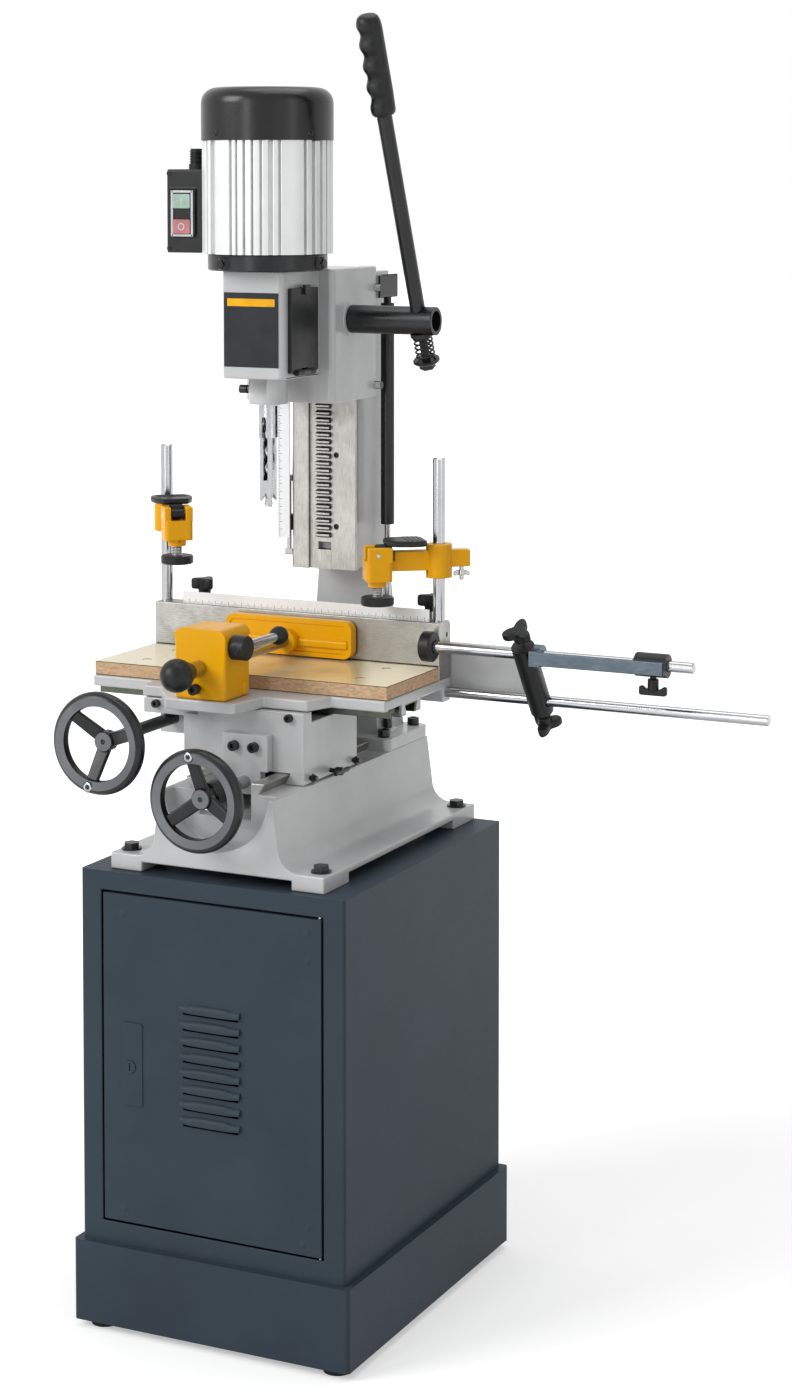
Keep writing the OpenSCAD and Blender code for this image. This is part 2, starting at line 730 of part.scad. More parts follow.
module bearing_plate() {
    color(iron) difference() {
        union() {
            block(-32, 32, plate_y, saddle_front, shoulder_z + 16, shoulder_z + 62);
            block(-22, 22, plate_y, saddle_front, screw_z - 16, shoulder_z + 16);
        }
        bar_ya(screw_r + fit, plate_y - 1, saddle_front + 1, 0, screw_z);
        for (x = [-14, 14]) bar_ya(4, plate_y - 1, saddle_front + 1, x, shoulder_z + 47);
    }
    color(dark) for (x = [-14, 14]) translate([x, plate_y, shoulder_z + 47]) rotate([90, 0, 0])
        socket_screw(4, 28);
}
module saddle_lock() {
    half = base_top_w / 2 - 4;
    color(dark) translate([half, -55, shoulder_z + 7]) rotate([0, 90, 0]) {
        translate([0, 0, -11]) cylinder(r = 3 - fit, h = 31);
        translate([0, 0, 16]) rotate([0, 90, 90]) translate([0, 0, -18]) cylinder(r = 3, h = 36);
    }
}
module cross_screw() {
    collar_y = wheel_y + wheel_dish + wheel_hub;
    color(steel) bar_ya(screw_r, wheel_y + wheel_dish + 3, foot_front - 8, 0, screw_z);
    color(dark) difference() {
        bar_ya(17, collar_y, collar_y + 28, 0, screw_z);
        bar_ya(screw_r, collar_y - 1, collar_y + 29, 0, screw_z);
    }
}
module front_handwheel() {
    color(dark) translate([0, wheel_y, screw_z]) rotate([90, 0, 0])
        handwheel(wheel_r, screw_r, 97);
}
module table_pinion() {
    color(dark) bar_ya(screw_r, side_wheel_y + wheel_dish + 3, -14, side_x, side_z);
    color(steel) difference() {
        translate([side_x, rack_y, side_z]) rotate([0, -90, -90])
            linear_extrude(rack_w) gear_2d(table_module, table_teeth);
        bar_ya(screw_r, rack_y - 1, rack_y + rack_w + 1, side_x, side_z);
    }
}
module side_handwheel() {
    color(dark) translate([side_x, side_wheel_y, side_z]) rotate([90, 0, 0])
        handwheel(wheel_r, screw_r, -102);
}

// ---- table ----
module table_outline() {
    step = table_front - 32;
    polygon([[table_x0, table_front], [table_x - 123, table_front], [table_x - 118, step],
        [table_x - 91, step], [table_x - 48, block_y0 - 3], [table_x + 51, block_y0 - 3],
        [table_x + 61, step - 5], [table_x + 122, step - 5], [table_x + 137, table_front],
        [table_x1, table_front], [table_x1, fence_rear + 1], [table_x0, fence_rear + 1]]);
}
module table_casting() {
    color(iron) difference() {
        union() {
            translate([0, 0, table_z]) linear_extrude(table_t)
                translate([table_x0, table_front])
                    square([table_l, fence_rear + 1 - table_front]);
            translate([0, 0, tongue_z - tongue_t]) linear_extrude(tongue_t) intersection() {
                table_outline();
                translate([table_x0, block_y0 - 4])
                    square([table_l, table_front - block_y0 + 16]);
            }
            block(table_x0, table_x1, rail_y - rail_half - 15, rail_y + rail_half + 15,
                saddle_top + air, table_z);
            block(bar_x0, table_x1, bar_y - 12, bar_y + 12, bar_z - 12, table_z);
        }
        translate([table_x0 - 1, rail_y, saddle_top]) rotate([90, 0, 90])
            linear_extrude(table_l + 2) dovetail(rail_half, rail_h, 5, air);
        bar_x(bar_r, bar_x0 + 6, table_x1 + 1, bar_y, bar_z);
    }
}
module table_board() {
    color("wheat") difference() {
        block(table_x0, table_x1, board_front, board_d / 2, board_z, board_top);
        for (x = [table_x0 + 56, table_x1 - 56], y = [-38, 38]) {
            bar_up(3, board_z - 1, board_top + 1, x, y);
            bar_up(6, board_top - 4, board_top + 1, x, y);
        }
    }
}
module table_rack() {
    n0 = -floor((side_x - table_x0) / table_pitch - 0.5);
    n1 = floor((table_x1 - side_x) / table_pitch - 0.5);
    color(steel) translate([side_x, rack_y + rack_w, side_z + table_r]) rotate([90, 0, 0])
        linear_extrude(rack_w) rack_2d(table_module, n0, n1, 10);
}
module table_screws() {
    color(dark) {
        for (x = [table_x0 + 56, table_x1 - 56], y = [-38, 38]) {
            bar_up(5.5, board_top - 4, board_top - 1, x, y);
            bar_up(3, board_z, board_top - 4, x, y);
        }
        translate([table_x - 2, block_y0 - 6, tongue_z + 15]) rotate([90, 0, 0])
            socket_screw(4.4, 6);
    }
}
module fence() {
    bottom = board_z;
    r = 8;
    color("darkgray") difference() {
        union() {
            block(table_x0, table_x1, fence_y, fence_rear, bottom, fence_top - r);
            block(table_x0, table_x1, fence_y, fence_rear - r, bottom, fence_top);
            bar_x(r, table_x0, table_x1, fence_rear - r, fence_top - r);
            for (x = knob_x)
                block(x - 10, x + 10, fence_rear, fence_rear + 10, plate_top + 1, fence_top - 4);
        }
        block(table_x0 - 1, table_x1 + 1, fence_y - 1, fence_y + 1, bottom - 1, board_top + 0.4);
        for (x = [post_left, post_right]) bar_up(post_r, fence_top - 50, fence_top + 1, x, post_y);
        for (x = knob_x)
            bar_up(3 + fit, fence_top - 30, fence_top + 1, x, fence_rear + 5);
        bar_x(3, table_x1 - 12, table_x1 + 1, fence_rear - 12, fence_top - 18);
    }
}
module fence_scale() {
    color("white") block(post_left + 33, post_right - 7, fence_y + 3, fence_y + 5,
        fence_top, fence_top + 16);
}
module fence_knob(x) {
    color(dark) translate([x, fence_rear + 5, 0]) {
        bar_up(3, fence_top - 28, fence_top + 10, 0, 0);
        translate([0, 0, fence_top + 10]) tri_knob(18, 20);
    }
}
module fence_knob_left() {
    fence_knob(knob_x[0]);
}
module fence_knob_right() {
    fence_knob(knob_x[1]);
}
module hold_down_posts() {
    color(steel) for (x = [post_left, post_right])
        bar_up(post_r, fence_top - 50, fence_top + post_h, x, post_y);
}

// ---- work clamp ----
module clamp_block() {
    r = 12;
    color(yellow) difference() {
        translate([table_x, block_y1, tongue_z]) rotate([90, 0, 0]) linear_extrude(block_d) {
            translate([-block_w / 2, 0]) square([block_w, block_h - r]);
            translate([-block_w / 2 + r, 0]) square([block_w - 2 * r, block_h]);
            for (sx = [-1, 1]) translate([sx * (block_w / 2 - r), block_h - r]) circle(r = r);
        }
        bar_ya(plunger_r + fit, block_y0 - 1, block_y1 + 1, table_x, plunger_z);
        bar_x(6 + fit, table_x - 22, cam_x + 1, cam_y, cam_z);
    }
}
module plunger_rod() {
    neck_y = ball_y + 39;
    color(steel) {
        bar_ya(plunger_r, ball_y + 16, press_y1 - 8, table_x, plunger_z);
        bar_ya(plunger_r + 2.5, neck_y, block_y0 - 0.5, table_x, plunger_z);
    }
    color(dark) difference() {
        union() {
            translate([table_x, ball_y, plunger_z]) sphere(r = ball_r);
            bar_ya(11, ball_y + 14, neck_y, table_x, plunger_z);
        }
        bar_ya(plunger_r, ball_y + 16, neck_y + 1, table_x, plunger_z);
    }
}
module press_plate() {
    zc = board_top + press_up + press_h / 2;
    y0 = press_y1 - press_t;
    color(yellow) difference() {
        union() {
            translate([table_x, press_y1 - 6, zc]) upright(press_w, press_h, 6, 12);
            translate([table_x, y0, zc]) difference() {
                upright(press_w, press_h, press_t - 6, 12);
                translate([0, -1, 0]) upright(press_w - 12, press_h - 12, press_t, 8);
            }
            block(table_x - press_w / 2 + 5, table_x + press_w / 2 - 5, y0 + 1, press_y1 - 6,
                plunger_z - 5, plunger_z + 2);
            bar_ya(16, y0 - 12, press_y1 - 6, table_x, plunger_z);
        }
        bar_ya(plunger_r, y0 - 13, press_y1 - 8, table_x, plunger_z);
    }
}
module cam_lever() {
    color(dark) {
        bar_x(6, table_x - 20, cam_x + 1, cam_y, cam_z);
        difference() {
            bar_x(15.5, cam_x, cam_x + 21, cam_y, cam_z);
            bar_ya(4, cam_y - 20, cam_y - 8, cam_x + 10, cam_z);
        }
        translate([cam_x + 10, cam_y + cam_l, cam_z]) sphere(r = 12.5);
    }
    color(steel) bar_ya(6, cam_y + 14, cam_y + cam_l - 10, cam_x + 10, cam_z);
}

// ---- hold-downs: post axis at the origin, arm along +X, nose's lower face at z = 0 ----
module hold_arm() {
    color(yellow) difference() {
        union() {
            translate([0, 0, 10]) cylinder(r = 17, h = 44);
            block(-40, -10, -8, 8, 24, 46);
            block(10, arm_reach - 15, -8, 8, 20, 34);
            block(10, arm_reach - 21, -8, 8, 30, 46);
            translate([arm_reach, 0, 0]) cylinder(r = 12, h = 10);
            translate([arm_reach, 0, 8]) slab(34, 38, 26, 6);
            for (sy = [-1, 1]) translate([0, sy * 14.5, 0])
                block(arm_reach - 17, arm_reach + 15, -4.5, 4.5, 33, 52);
        }
        translate([0, 0, 9]) cylinder(r = post_r + 0.1, h = 46);
        translate([arm_reach, 0, -1]) cylinder(r = 7 + fit, h = 40);
        translate([pin_x, 20, pin_up]) rotate([90, 0, 0]) cylinder(r = 3 + fit, h = 40);
        translate([-30, 0, 23]) cylinder(r = 3 + fit, h = 15);
        block(-42, -6, -0.8, 0.8, 9, 60);
    }
}
module cam_handle() {
    color(dark) {
        translate([pin_x, 19, pin_up]) rotate([90, 0, 0]) cylinder(r = 3, h = 38);
        translate([pin_x, 9, pin_up]) rotate([90, 0, 0]) cylinder(r = 7, h = 18);
        block(pin_x - 20, pin_x, -9, 9, pin_up, pin_up + 12);
        translate([pin_x - 38, 0, pin_up + 11]) slab(52, 56, 8, 12);
    }
}
module hold_pad() {
    color(dark) {
        translate([arm_reach, 0, -24]) cylinder(r = pad_r, h = 11);
        translate([arm_reach, 0, -13.5]) cylinder(r = 7, h = 46);
    }
}
module wing_screw() {
    color(steel) translate([-30, 0, 0]) {
        translate([0, 0, 6]) cylinder(r = 3, h = 30);
        translate([0, 0, 12]) cylinder(r = 5, h = 7);
        for (sx = [-1, 1]) translate([sx * 6, 0, 15]) rotate([90, 0, 0])
            translate([0, 0, -1.5]) cylinder(r = 4.5, h = 3);
    }
}
module at_right() {
    translate([post_right, post_y, arm_z]) rotate(arm_turn_right) children();
}
module at_left() {
    translate([post_left, post_y, arm_z + left_arm_up]) rotate(arm_turn_left) children();
}
module hold_arm_left() {
    at_left() hold_arm();
}
module cam_handle_left() {
    at_left() cam_handle();
}
module hold_pad_left() {
    at_left() hold_pad();
}
module wing_screw_left() {
    at_left() wing_screw();
}
module hold_arm_right() {
    at_right() hold_arm();
}
module cam_handle_right() {
    at_right() cam_handle();
}
module hold_pad_right() {
    at_right() hold_pad();
}
module wing_screw_right() {
    at_right() wing_screw();
}

// ---- length stop ----
module stop_bar() {
    color(steel) bar_x(bar_r, bar_x0 + 6, bar_x0 + 6 + bar_l, bar_y, bar_z);
    color(iron) block(post_right - 26, stop_x - 14, fence_rear + 1.5, fence_rear + 9.5,
        bar_z - 8, plate_top);
    color(dark) for (x = [post_right - 22, table_x1 - 10])
        bar_ya(4, fence_rear + 9.5, fence_rear + 14, x, board_top);
}
// The stop post leans forward; local Z runs up it from the lower bar
module on_post() {
    translate([stop_x, bar_y, bar_z]) rotate([post_lean, 0, 0]) children();
}
module stop_post() {
    arm_y = rod_y - 20;
    color(dark) difference() {
        on_post() difference() {
            translate([0, 0, -18]) cylinder(r = 12.5, h = post_l);
            for (z = [-19, post_l - 24]) translate([0, 0, z]) cylinder(r = 4 + fit, h = 7);
        }
        bar_x(bar_r + fit, stop_x - 20, stop_x + 20, bar_y, bar_z);
        bar_x(bar_r + fit, stop_x - 20, stop_x + 20, rod_y, rod_z);
    }
    color("gray") difference() {
        union() {
            bar_x(14, stop_x + 12, stop_x + 24, rod_y, rod_z);
            block(stop_x + 12, stop_x + 24, arm_y, rod_y, rod_z - 12, rod_z + 8);
            block(stop_x + 20, sleeve_x + 2, arm_y, arm_y + 8, rod_z - 10, rod_z + 7);
            bar_x(15, sleeve_x, sleeve_x + 42, rod_y, rod_z);
            block(sleeve_x, sleeve_x + 42, arm_y, rod_y, rod_z - 10, rod_z + 7);
        }
        bar_x(bar_r + fit, stop_x + 11, sleeve_x + 43, rod_y, rod_z);
        bar_up(4 + fit, rod_z - 20, rod_z - 8, sleeve_x + 22, rod_y);
    }
}
// Local z = 0 where the stud enters the post, knob upwards
module post_knob() {
    translate([0, 0, -4]) color(steel) cylinder(r = 4, h = 16);
    color(dark) {
        translate([0, 0, 10]) cylinder(r = 9, h = 10);
        translate([0, 0, 18]) tri_knob(21, 12);
    }
}
module post_knob_top() {
    on_post() translate([0, 0, post_l - 18]) post_knob();
}
module post_knob_low() {
    on_post() translate([0, 0, -18]) rotate([180, 0, 0]) post_knob();
}
module stop_rod() {
    color(steel) bar_x(bar_r, rod_x0, rod_x0 + rod_l, rod_y, rod_z);
    color(dark) difference() {
        bar_x(19.5, rod_x0 - 8, rod_x0 + 8, rod_y, rod_z);
        bar_x(bar_r, rod_x0, rod_x0 + 9, rod_y, rod_z);
    }
}
module sleeve_screw() {
    z = rod_z - 38;
    color(dark) {
        bar_up(4, z + 6, rod_z - 9, sleeve_x + 22, rod_y);
        bar_up(7, z + 6, rod_z - 17, sleeve_x + 22, rod_y);
        block(sleeve_x + 4, sleeve_x + 40, rod_y - 4, rod_y + 4, z, z + 10);
    }
}

// ---- head ----
module head_casting() {
    mid_y = (head_rear - 22) / 2;
    back = head_rear + 22;
    color(iron) difference() {
        union() {
            translate([0, mid_y, head_bottom]) slab(2 * head_half, back, head_top - head_bottom, 8);
            translate([0, (head_front - 16) / 2, nose_bottom])
                slab(2 * nose_half, -16 - head_front, head_top - nose_bottom, 9);
            translate([0, spindle_y, nose_bottom - 33]) cylinder(r = quill_r, h = 34);
            bar_x(hub_r + 4, head_half - 2, head_half + 3, pinion_y, pinion_z);
            block(gas_x - 10, gas_x + 6, head_rear - 1, head_rear + 14, gas_top - 6, gas_top + 24);
        }
        translate([0, 0, head_bottom - 1]) linear_extrude(head_top - head_bottom + 2)
            intersection() {
                slide_outline(air);
                translate([-60, 0]) square([120, head_rear + 20]);
            }
        block(-rack_half - air, rack_half + air, slide_y - 8, slide_y, head_bottom - 1,
            head_top + 1);
        bar_x(feed_r + 3 + 1, -14, 14, pinion_y, pinion_z);
        bar_x(shaft_r + fit, -52, head_half + 4, pinion_y, pinion_z);
        block(-chamber_x, chamber_x, head_front + 10, spindle_y + 42, chamber_z0, chamber_z1);
        block(0, nose_half + 1, spindle_y - 27, spindle_y + 40, chamber_z0, chamber_z1 - 12);
        bar_up(shank_r, nose_bottom - 34, chamber_z0 + 1, 0, spindle_y);
        bar_up(38, chamber_z1 - 1, head_top + 1, 0, spindle_y);
        bar_x(3, -quill_r - 2, -shank_r + 1, spindle_y, nose_bottom - 16);
    }
    color(dark) {
        for (z = [head_bottom + 16, head_top - 28]) bar_x(5, head_half, head_half + 9,
            head_rear - 8, z);
        bar_x(3, -quill_r - 5, -shank_r, spindle_y, nose_bottom - 16);
        bar_x(5.5, -quill_r - 15, -quill_r - 5, spindle_y, nose_bottom - 16);
        bar_ya(1.5, cover_y - 23, cover_y + 23, cover_x, cover_z);
        bar_ya(4, cover_y - 8.5, cover_y + 8.5, cover_x, cover_z);
        block(nose_half - 1, cover_x, cover_y - 8.5, cover_y + 8.5, cover_z - 4, cover_z + 3);
        block(gas_x + 6, gas_x + 9, gas_y - 40, gas_y + 12, gas_top - 6, gas_top + 24);
    }
}
module motor_body() {
    color(dark) difference() {
        union() {
            translate([0, spindle_y, head_top]) cylinder(r = 75, h = flange_h);
            translate([0, spindle_y, head_top - 12]) cylinder(r = 38, h = 13);
        }
        bar_up(shaft_r + fit, head_top - 13, motor_z + 1, 0, spindle_y);
    }
    color("gainsboro") translate([0, spindle_y, motor_z]) difference() {
        linear_extrude(motor_h) {
            circle(r = motor_r - 6, $fn = 96);
            for (i = [0 : fin_n - 1]) rotate(i * 360 / fin_n)
                translate([0, -1.3]) square([motor_r, 2.6]);
        }
        translate([0, 0, -1]) cylinder(r = 46, h = motor_h + 2);
    }
}
module fan_cover() {
    color(dark) translate([0, spindle_y, fan_z]) rotate_extrude($fn = 96) difference() {
        union() {
            square([motor_r + 1, fan_cover_h - 20]);
            square([motor_r - 19, fan_cover_h]);
            translate([motor_r - 19, fan_cover_h - 20]) circle(r = 20);
        }
        translate([0, -1]) square([motor_r - 2, fan_cover_h - 22]);
        translate([0, -1]) square([motor_r - 22, fan_cover_h - 2]);
        translate([-50, -50]) square([50, 200]);
    }
}
module switch_box() {
    color(dark) difference() {
        union() {
            block(switch_x - 45, switch_x + 32, spindle_y - 33, spindle_y + 31, motor_z, switch_top);
            block(switch_x - 39, switch_x - 2, spindle_y - 36, spindle_y - 32, motor_z + 24,
                motor_z + 80);
            bar_up(8, switch_top - 1, switch_top + 26, switch_x - 20, spindle_y);
            bar_up(10, switch_top - 1, switch_top + 7, switch_x - 20, spindle_y);
        }
        bar_up(motor_r + air, motor_z - 1, fan_z - 1, 0, spindle_y);
        for (z = [motor_z + 33, motor_z + 65])
            translate([switch_x - 20.5, spindle_y - 37, z]) upright(24.6, 18.6, 12, 2);
        bar_up(4, switch_top + 5, switch_top + 27, switch_x - 20, spindle_y);
    }
}
module button(z) {
    translate([switch_x - 20.5, spindle_y - 39, z]) upright(24, 18, 8, 2);
}
module start_button() {
    color("green") button(motor_z + 65);
}
module stop_button() {
    color("red") button(motor_z + 33);
}
module chuck_cover() {
    y0 = spindle_y - 29;
    color(dark) {
        difference() {
            block(nose_half + air, nose_half + air + cover_t, y0, spindle_y + 42, cover_z,
                chamber_z1 - 10);
            block(nose_half, nose_half + air + cover_t + 1, cover_y - 9, cover_y + 9,
                cover_z - 1, cover_z + 5);
            bar_ya(1.5 + fit, y0 - 1, spindle_y + 43, cover_x, cover_z);
        }
        for (y = [cover_y - 23, cover_y + 9]) difference() {
            bar_ya(4, y, y + 14, cover_x, cover_z);
            bar_ya(1.5 + fit, y - 1, y + 15, cover_x, cover_z);
        }
        block(nose_half + air + cover_t - 1, nose_half + air + cover_t + 3, spindle_y + 2,
            spindle_y + 16, chamber_z1 - 18, chamber_z1 - 6);
    }
}
module spindle() {
    bit = chisel_s / 2 - 2.5;
    color(steel) translate([0, spindle_y, 0]) {
        bar_up(shaft_r, chamber_z0 + 62, fan_z + 26, 0, 0);
        bar_up(44, motor_z + 16, fan_z - 14, 0, 0);
        bar_up(20, chamber_z0 + 14, chamber_z0 + 62, 0, 0);
        bar_up(bit, chisel_z - chisel_l - 8, chamber_z0 + 20, 0, 0);
    }
    color(dark) translate([0, spindle_y, fan_z + 8]) linear_extrude(18) {
        difference() {
            circle(r = 22);
            circle(r = shaft_r);
        }
        for (a = [0 : 45 : 315]) rotate(a) translate([20, -1.5]) square([44, 3]);
    }
}
module chisel() {
    tip = 20;
    s = chisel_s;
    color("gray") translate([0, spindle_y, chisel_z]) difference() {
        union() {
            cylinder(r = shank_r, h = nose_bottom + 6 - chisel_z);
            translate([-s / 2, -s / 2, -chisel_l]) cube([s, s, chisel_l + 6]);
        }
        translate([0, 0, -chisel_l - 1])
            cylinder(r = chisel_s / 2 - 2, h = nose_bottom - chisel_z + chisel_l + 20);
        translate([-3, -s, -chisel_l + 26]) cube([6, s, chisel_l]);
        translate([0, -3, -chisel_l + 40]) cube([s, 6, chisel_l]);
        for (a = [0, 90]) rotate(a)
            translate([0, -s, -chisel_l]) rotate([-90, 0, 0]) linear_extrude(2 * s)
                polygon([[-s / 2 + 1, 1], [s / 2 - 1, 1], [0, -tip / 2]]);
    }
}
module gas_cylinder() {
    top = gas_top - 14;
    color(dark) difference() {
        union() {
            bar_up(gas_r, gas_bottom, top, gas_x, gas_y);
            bar_up(5, top, gas_top + 4, gas_x, gas_y);
            bar_x(9, gas_x - 4, gas_x + 6, gas_y, gas_top + 9);
        }
        bar_up(gas_rod_r + fit, gas_bottom - 1, gas_bottom + head_travel + 40, gas_x, gas_y);
    }
}
// Local Z runs up the lever; the hub's axis passes through the origin
module on_lever() {
    translate([lever_x, pinion_y, pinion_z]) rotate([lever_lean, 0, 0]) children();
}
module lever_shaft() {
    color(dark) difference() {
        bar_x(hub_r, head_half + 3 + air, hub_end, pinion_y, pinion_z);
        bar_x(13, hub_end - 12, hub_end + 1, pinion_y, pinion_z);
        on_lever() translate([0, 0, -1]) cylinder(r = lever_r, h = 60);
        on_lever() translate([0, 0, -30]) cylinder(r = 5.5, h = 32);
    }
    color(dark) on_lever() difference() {
        translate([0, 0, -20]) cylinder(r = 15, h = 6);
        translate([0, 0, -21]) cylinder(r = 5.5, h = 8);
    }
    color(steel) {
        bar_x(shaft_r, -50, head_half + 6, pinion_y, pinion_z);
        translate([-feed_w / 2, pinion_y, pinion_z]) rotate([90, 0, 90]) linear_extrude(feed_w)
            difference() {
                gear_2d(feed_module, feed_teeth);
                circle(r = shaft_r);
            }
    }
}
module lever_rod() {
    grip = 128;
    color(dark) on_lever() {
        translate([0, 0, spring_low - 13]) cylinder(r = 5.5, h = 15 - spring_low);
        translate([0, 0, -1]) cylinder(r = lever_r, h = lever_l - grip + 3);
        translate([0, 0, lever_l - grip]) difference() {
            cylinder(r = 16, h = grip - 10);
            for (i = [0 : 3]) translate([0, 0, 22 + i * 27]) rotate_extrude()
                translate([24, 0]) circle(r = 10);
        }
        translate([0, 0, lever_l - 11]) cylinder(r = 13, h = 11);
        translate([0, 0, spring_low - 4]) cylinder(r = 17, h = 4);
        translate([0, 0, spring_low - 13]) hexagon(19, 9);
    }
}
// Centre of the wire at share t of the coil, with a straight end one wire thick at each side
function coil(t) = let (a = 360 * spring_turns * min(1, max(0, t)), d = 2 * spring_wire)
    let (out = t < 0 ? -d : t > 1 ? d : 0)
    [spring_r * cos(a) - out * sin(a), spring_r * sin(a) + out * cos(a),
        spring_low + spring_wire + spring_climb * min(1, max(0, t)), a];
module lever_spring() {
    sides = 6;
    gap = spring_climb / spring_turns - 2 * spring_wire;
    echo("lever spring, least gap between curls", gap);
    stations = concat([-1], [for (i = [0 : rings]) i / rings], [2]);
    points = [for (t = stations) let (c = coil(t))
        for (k = [0 : sides - 1]) let (w = 360 * k / sides)
            [c[0] + spring_wire * cos(w) * cos(c[3]), c[1] + spring_wire * cos(w) * sin(c[3]),
                c[2] + spring_wire * sin(w)]];
    last = (len(stations) - 1) * sides;
    faces = concat(
        [for (i = [0 : len(stations) - 2], k = [0 : sides - 1]) each let (a = i * sides + k,
            b = i * sides + (k + 1) % sides) [[a, b, b + sides], [a, b + sides, a + sides]]],
        [for (k = [1 : sides - 2]) [0, k + 1, k]],
        [for (k = [1 : sides - 2]) [last, last + k, last + k + 1]]);
    color(dark) on_lever() polyhedron(points = points, faces = faces);
}

cabinet_feet();
cabinet_plinth();
cabinet_shell();
door_pivots();
cabinet_door();
door_latch();
base_casting();
machine_bolts();
column();
feed_rack();
depth_scale();
depth_stop();
gas_rod();
saddle();
bearing_plate();
saddle_lock();
cross_screw();
front_handwheel();
table_pinion();
side_handwheel();
table_casting();
table_board();
table_rack();
table_screws();
fence();
fence_scale();
fence_knob_left();
fence_knob_right();
hold_down_posts();
clamp_block();
plunger_rod();
press_plate();
cam_lever();
hold_arm_left();
cam_handle_left();
hold_pad_left();
wing_screw_left();
hold_arm_right();
cam_handle_right();
hold_pad_right();
wing_screw_right();
stop_bar();
stop_post();
post_knob_top();
post_knob_low();
stop_rod();
sleeve_screw();
head_casting();
motor_body();
fan_cover();
switch_box();
start_button();
stop_button();
chuck_cover();
spindle();
chisel();
gas_cylinder();
lever_shaft();
lever_rod();
lever_spring();
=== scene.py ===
import math

import bmesh
import bpy
from mathutils import Matrix, Vector


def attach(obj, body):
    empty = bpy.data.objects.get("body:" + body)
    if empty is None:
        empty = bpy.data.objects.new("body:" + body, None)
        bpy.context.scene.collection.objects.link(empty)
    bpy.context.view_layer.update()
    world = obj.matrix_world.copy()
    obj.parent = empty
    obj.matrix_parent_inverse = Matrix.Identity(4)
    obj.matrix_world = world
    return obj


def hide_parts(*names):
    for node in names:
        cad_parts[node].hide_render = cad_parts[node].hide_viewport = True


bl_info = {
    "name": "Hollow-chisel mortiser",
    "version": (1, 0, 0),
    "blender": (4, 5, 0),
    "location": "View3D > Sidebar > Mortiser",
    "description": "Dresses the mortiser on its cabinet stand and sets up the studio",
    "category": "Object",
}

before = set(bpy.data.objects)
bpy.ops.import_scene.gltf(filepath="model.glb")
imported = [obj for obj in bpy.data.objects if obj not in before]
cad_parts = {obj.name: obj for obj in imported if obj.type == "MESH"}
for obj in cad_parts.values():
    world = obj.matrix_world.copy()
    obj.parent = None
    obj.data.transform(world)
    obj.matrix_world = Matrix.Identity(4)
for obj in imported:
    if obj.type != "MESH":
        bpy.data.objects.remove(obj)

# Places in millimetres, as the frame has them
SPINDLE_Y = -77
HEAD_FRONT = -120
MOTOR_Z, FAN_Z, FAN_TOP = 1352, 1493, 1559
PINION = Vector((163, 24, 1266))
LEVER_LEAN = 21.5
FRONT_WHEEL = Vector((0, -261, 694))
SIDE_WHEEL = Vector((-131, -272, 755))
BOARD_LOW, BOARD_HIGH = 798, 816
FENCE_TOP = 873
DOOR_FRONT = -230
POSTS = ((-250, 95), (157, 95))
PLUNGER = Vector((-46.5, -228, 838))
CAM = Vector((-9.7, -151, 864))
STOP_X, STOP_BAR, STOP_ROD = 296, Vector((0, 100, 780)), Vector((0, 54.8, 846))
SCREW_X = 468
LOUVRES, LOUVRE_PITCH, LOUVRE_MIDDLE = 8, 20, 350.5
FAN_SLOTS = 24
PAD_X, WING_X = 81, -30  # along a hold-down's arm, from its post
TUBE_RADIUS, TUBE_SCALE = 12.5, 1.2
SMOOTH_BELOW = 32  # degrees; sharper edges stay sharp


# ---- sizes and colours ----

def linear(code):
    """An sRGB hex colour as linear red, green, blue and alpha."""
    parts = [int(code[i:i + 2], 16) / 255 for i in (1, 3, 5)]
    return tuple(c / 12.92 if c <= 0.04045 else ((c + 0.055) / 1.055) ** 2.4
                 for c in parts) + (1.0,)


def colour(name, code, text):
    return bpy.props.FloatVectorProperty(name=name, description=text, default=linear(code),
                                         size=4, min=0, max=1, subtype="COLOR")


def size(name, value, low, high, text):
    return bpy.props.FloatProperty(name=name, description=text, default=value / 1000,
                                   min=low / 1000, max=high / 1000, precision=4,
                                   subtype="DISTANCE", unit="LENGTH")


class MortiserColours(bpy.types.PropertyGroup):
    grey: colour("Casting enamel", "#bcbdbe", "Enamel of the base, column, head and table")
    yellow: colour("Clamp enamel", "#eaa800", "Enamel of the clamp, press plate and arms")
    slate: colour("Cabinet coat", "#343f48", "Powder coat of the cabinet")
    black: colour("Black plastic", "#131415", "Moulded knobs, grip and switch housing")
    blackened: colour("Blackened steel", "#1c1d1f", "Bolts, lever, hub and wheels")
    steel: colour("Bright steel", "#aeafb1", "Posts, rods and plated screws")
    iron: colour("Ground iron", "#aaa9a4", "Fence and slideway faces")
    aluminium: colour("Motor body", "#e4e5e5", "Painted die-cast body of the motor")
    board: colour("Board face", "#e3d3a6", "Melamine face of the table board")
    core: colour("Board core", "#c4a37f", "Chips at the edges of the table board")


class MortiserSizes(bpy.types.PropertyGroup):
    casting_edge: size("Casting edge", 2.2, 0.5, 4, "Radius of the edges of the castings")
    plate_edge: size("Plate edge", 1.0, 0.2, 2, "Radius of the edges of folded plates")
    peel: size("Orange peel", 2.4, 1, 6, "Size of the ripples in the sprayed enamel")
    grip_groove: size("Grip groove", 4.3, 1, 4.5, "Depth of the finger grooves in the grip")
    rib_height: size("Motor rib", 5.5, 3, 6, "Height of the ribs on the motor body")
    hood: size("Louvre hood", 5.5, 3, 6, "How far a louvre stands out of the door")


def mm(name):
    """A size of the panel in millimetres."""
    return getattr(bpy.context.scene.mortiser_sizes, name) * 1000


# ---- finishes ----

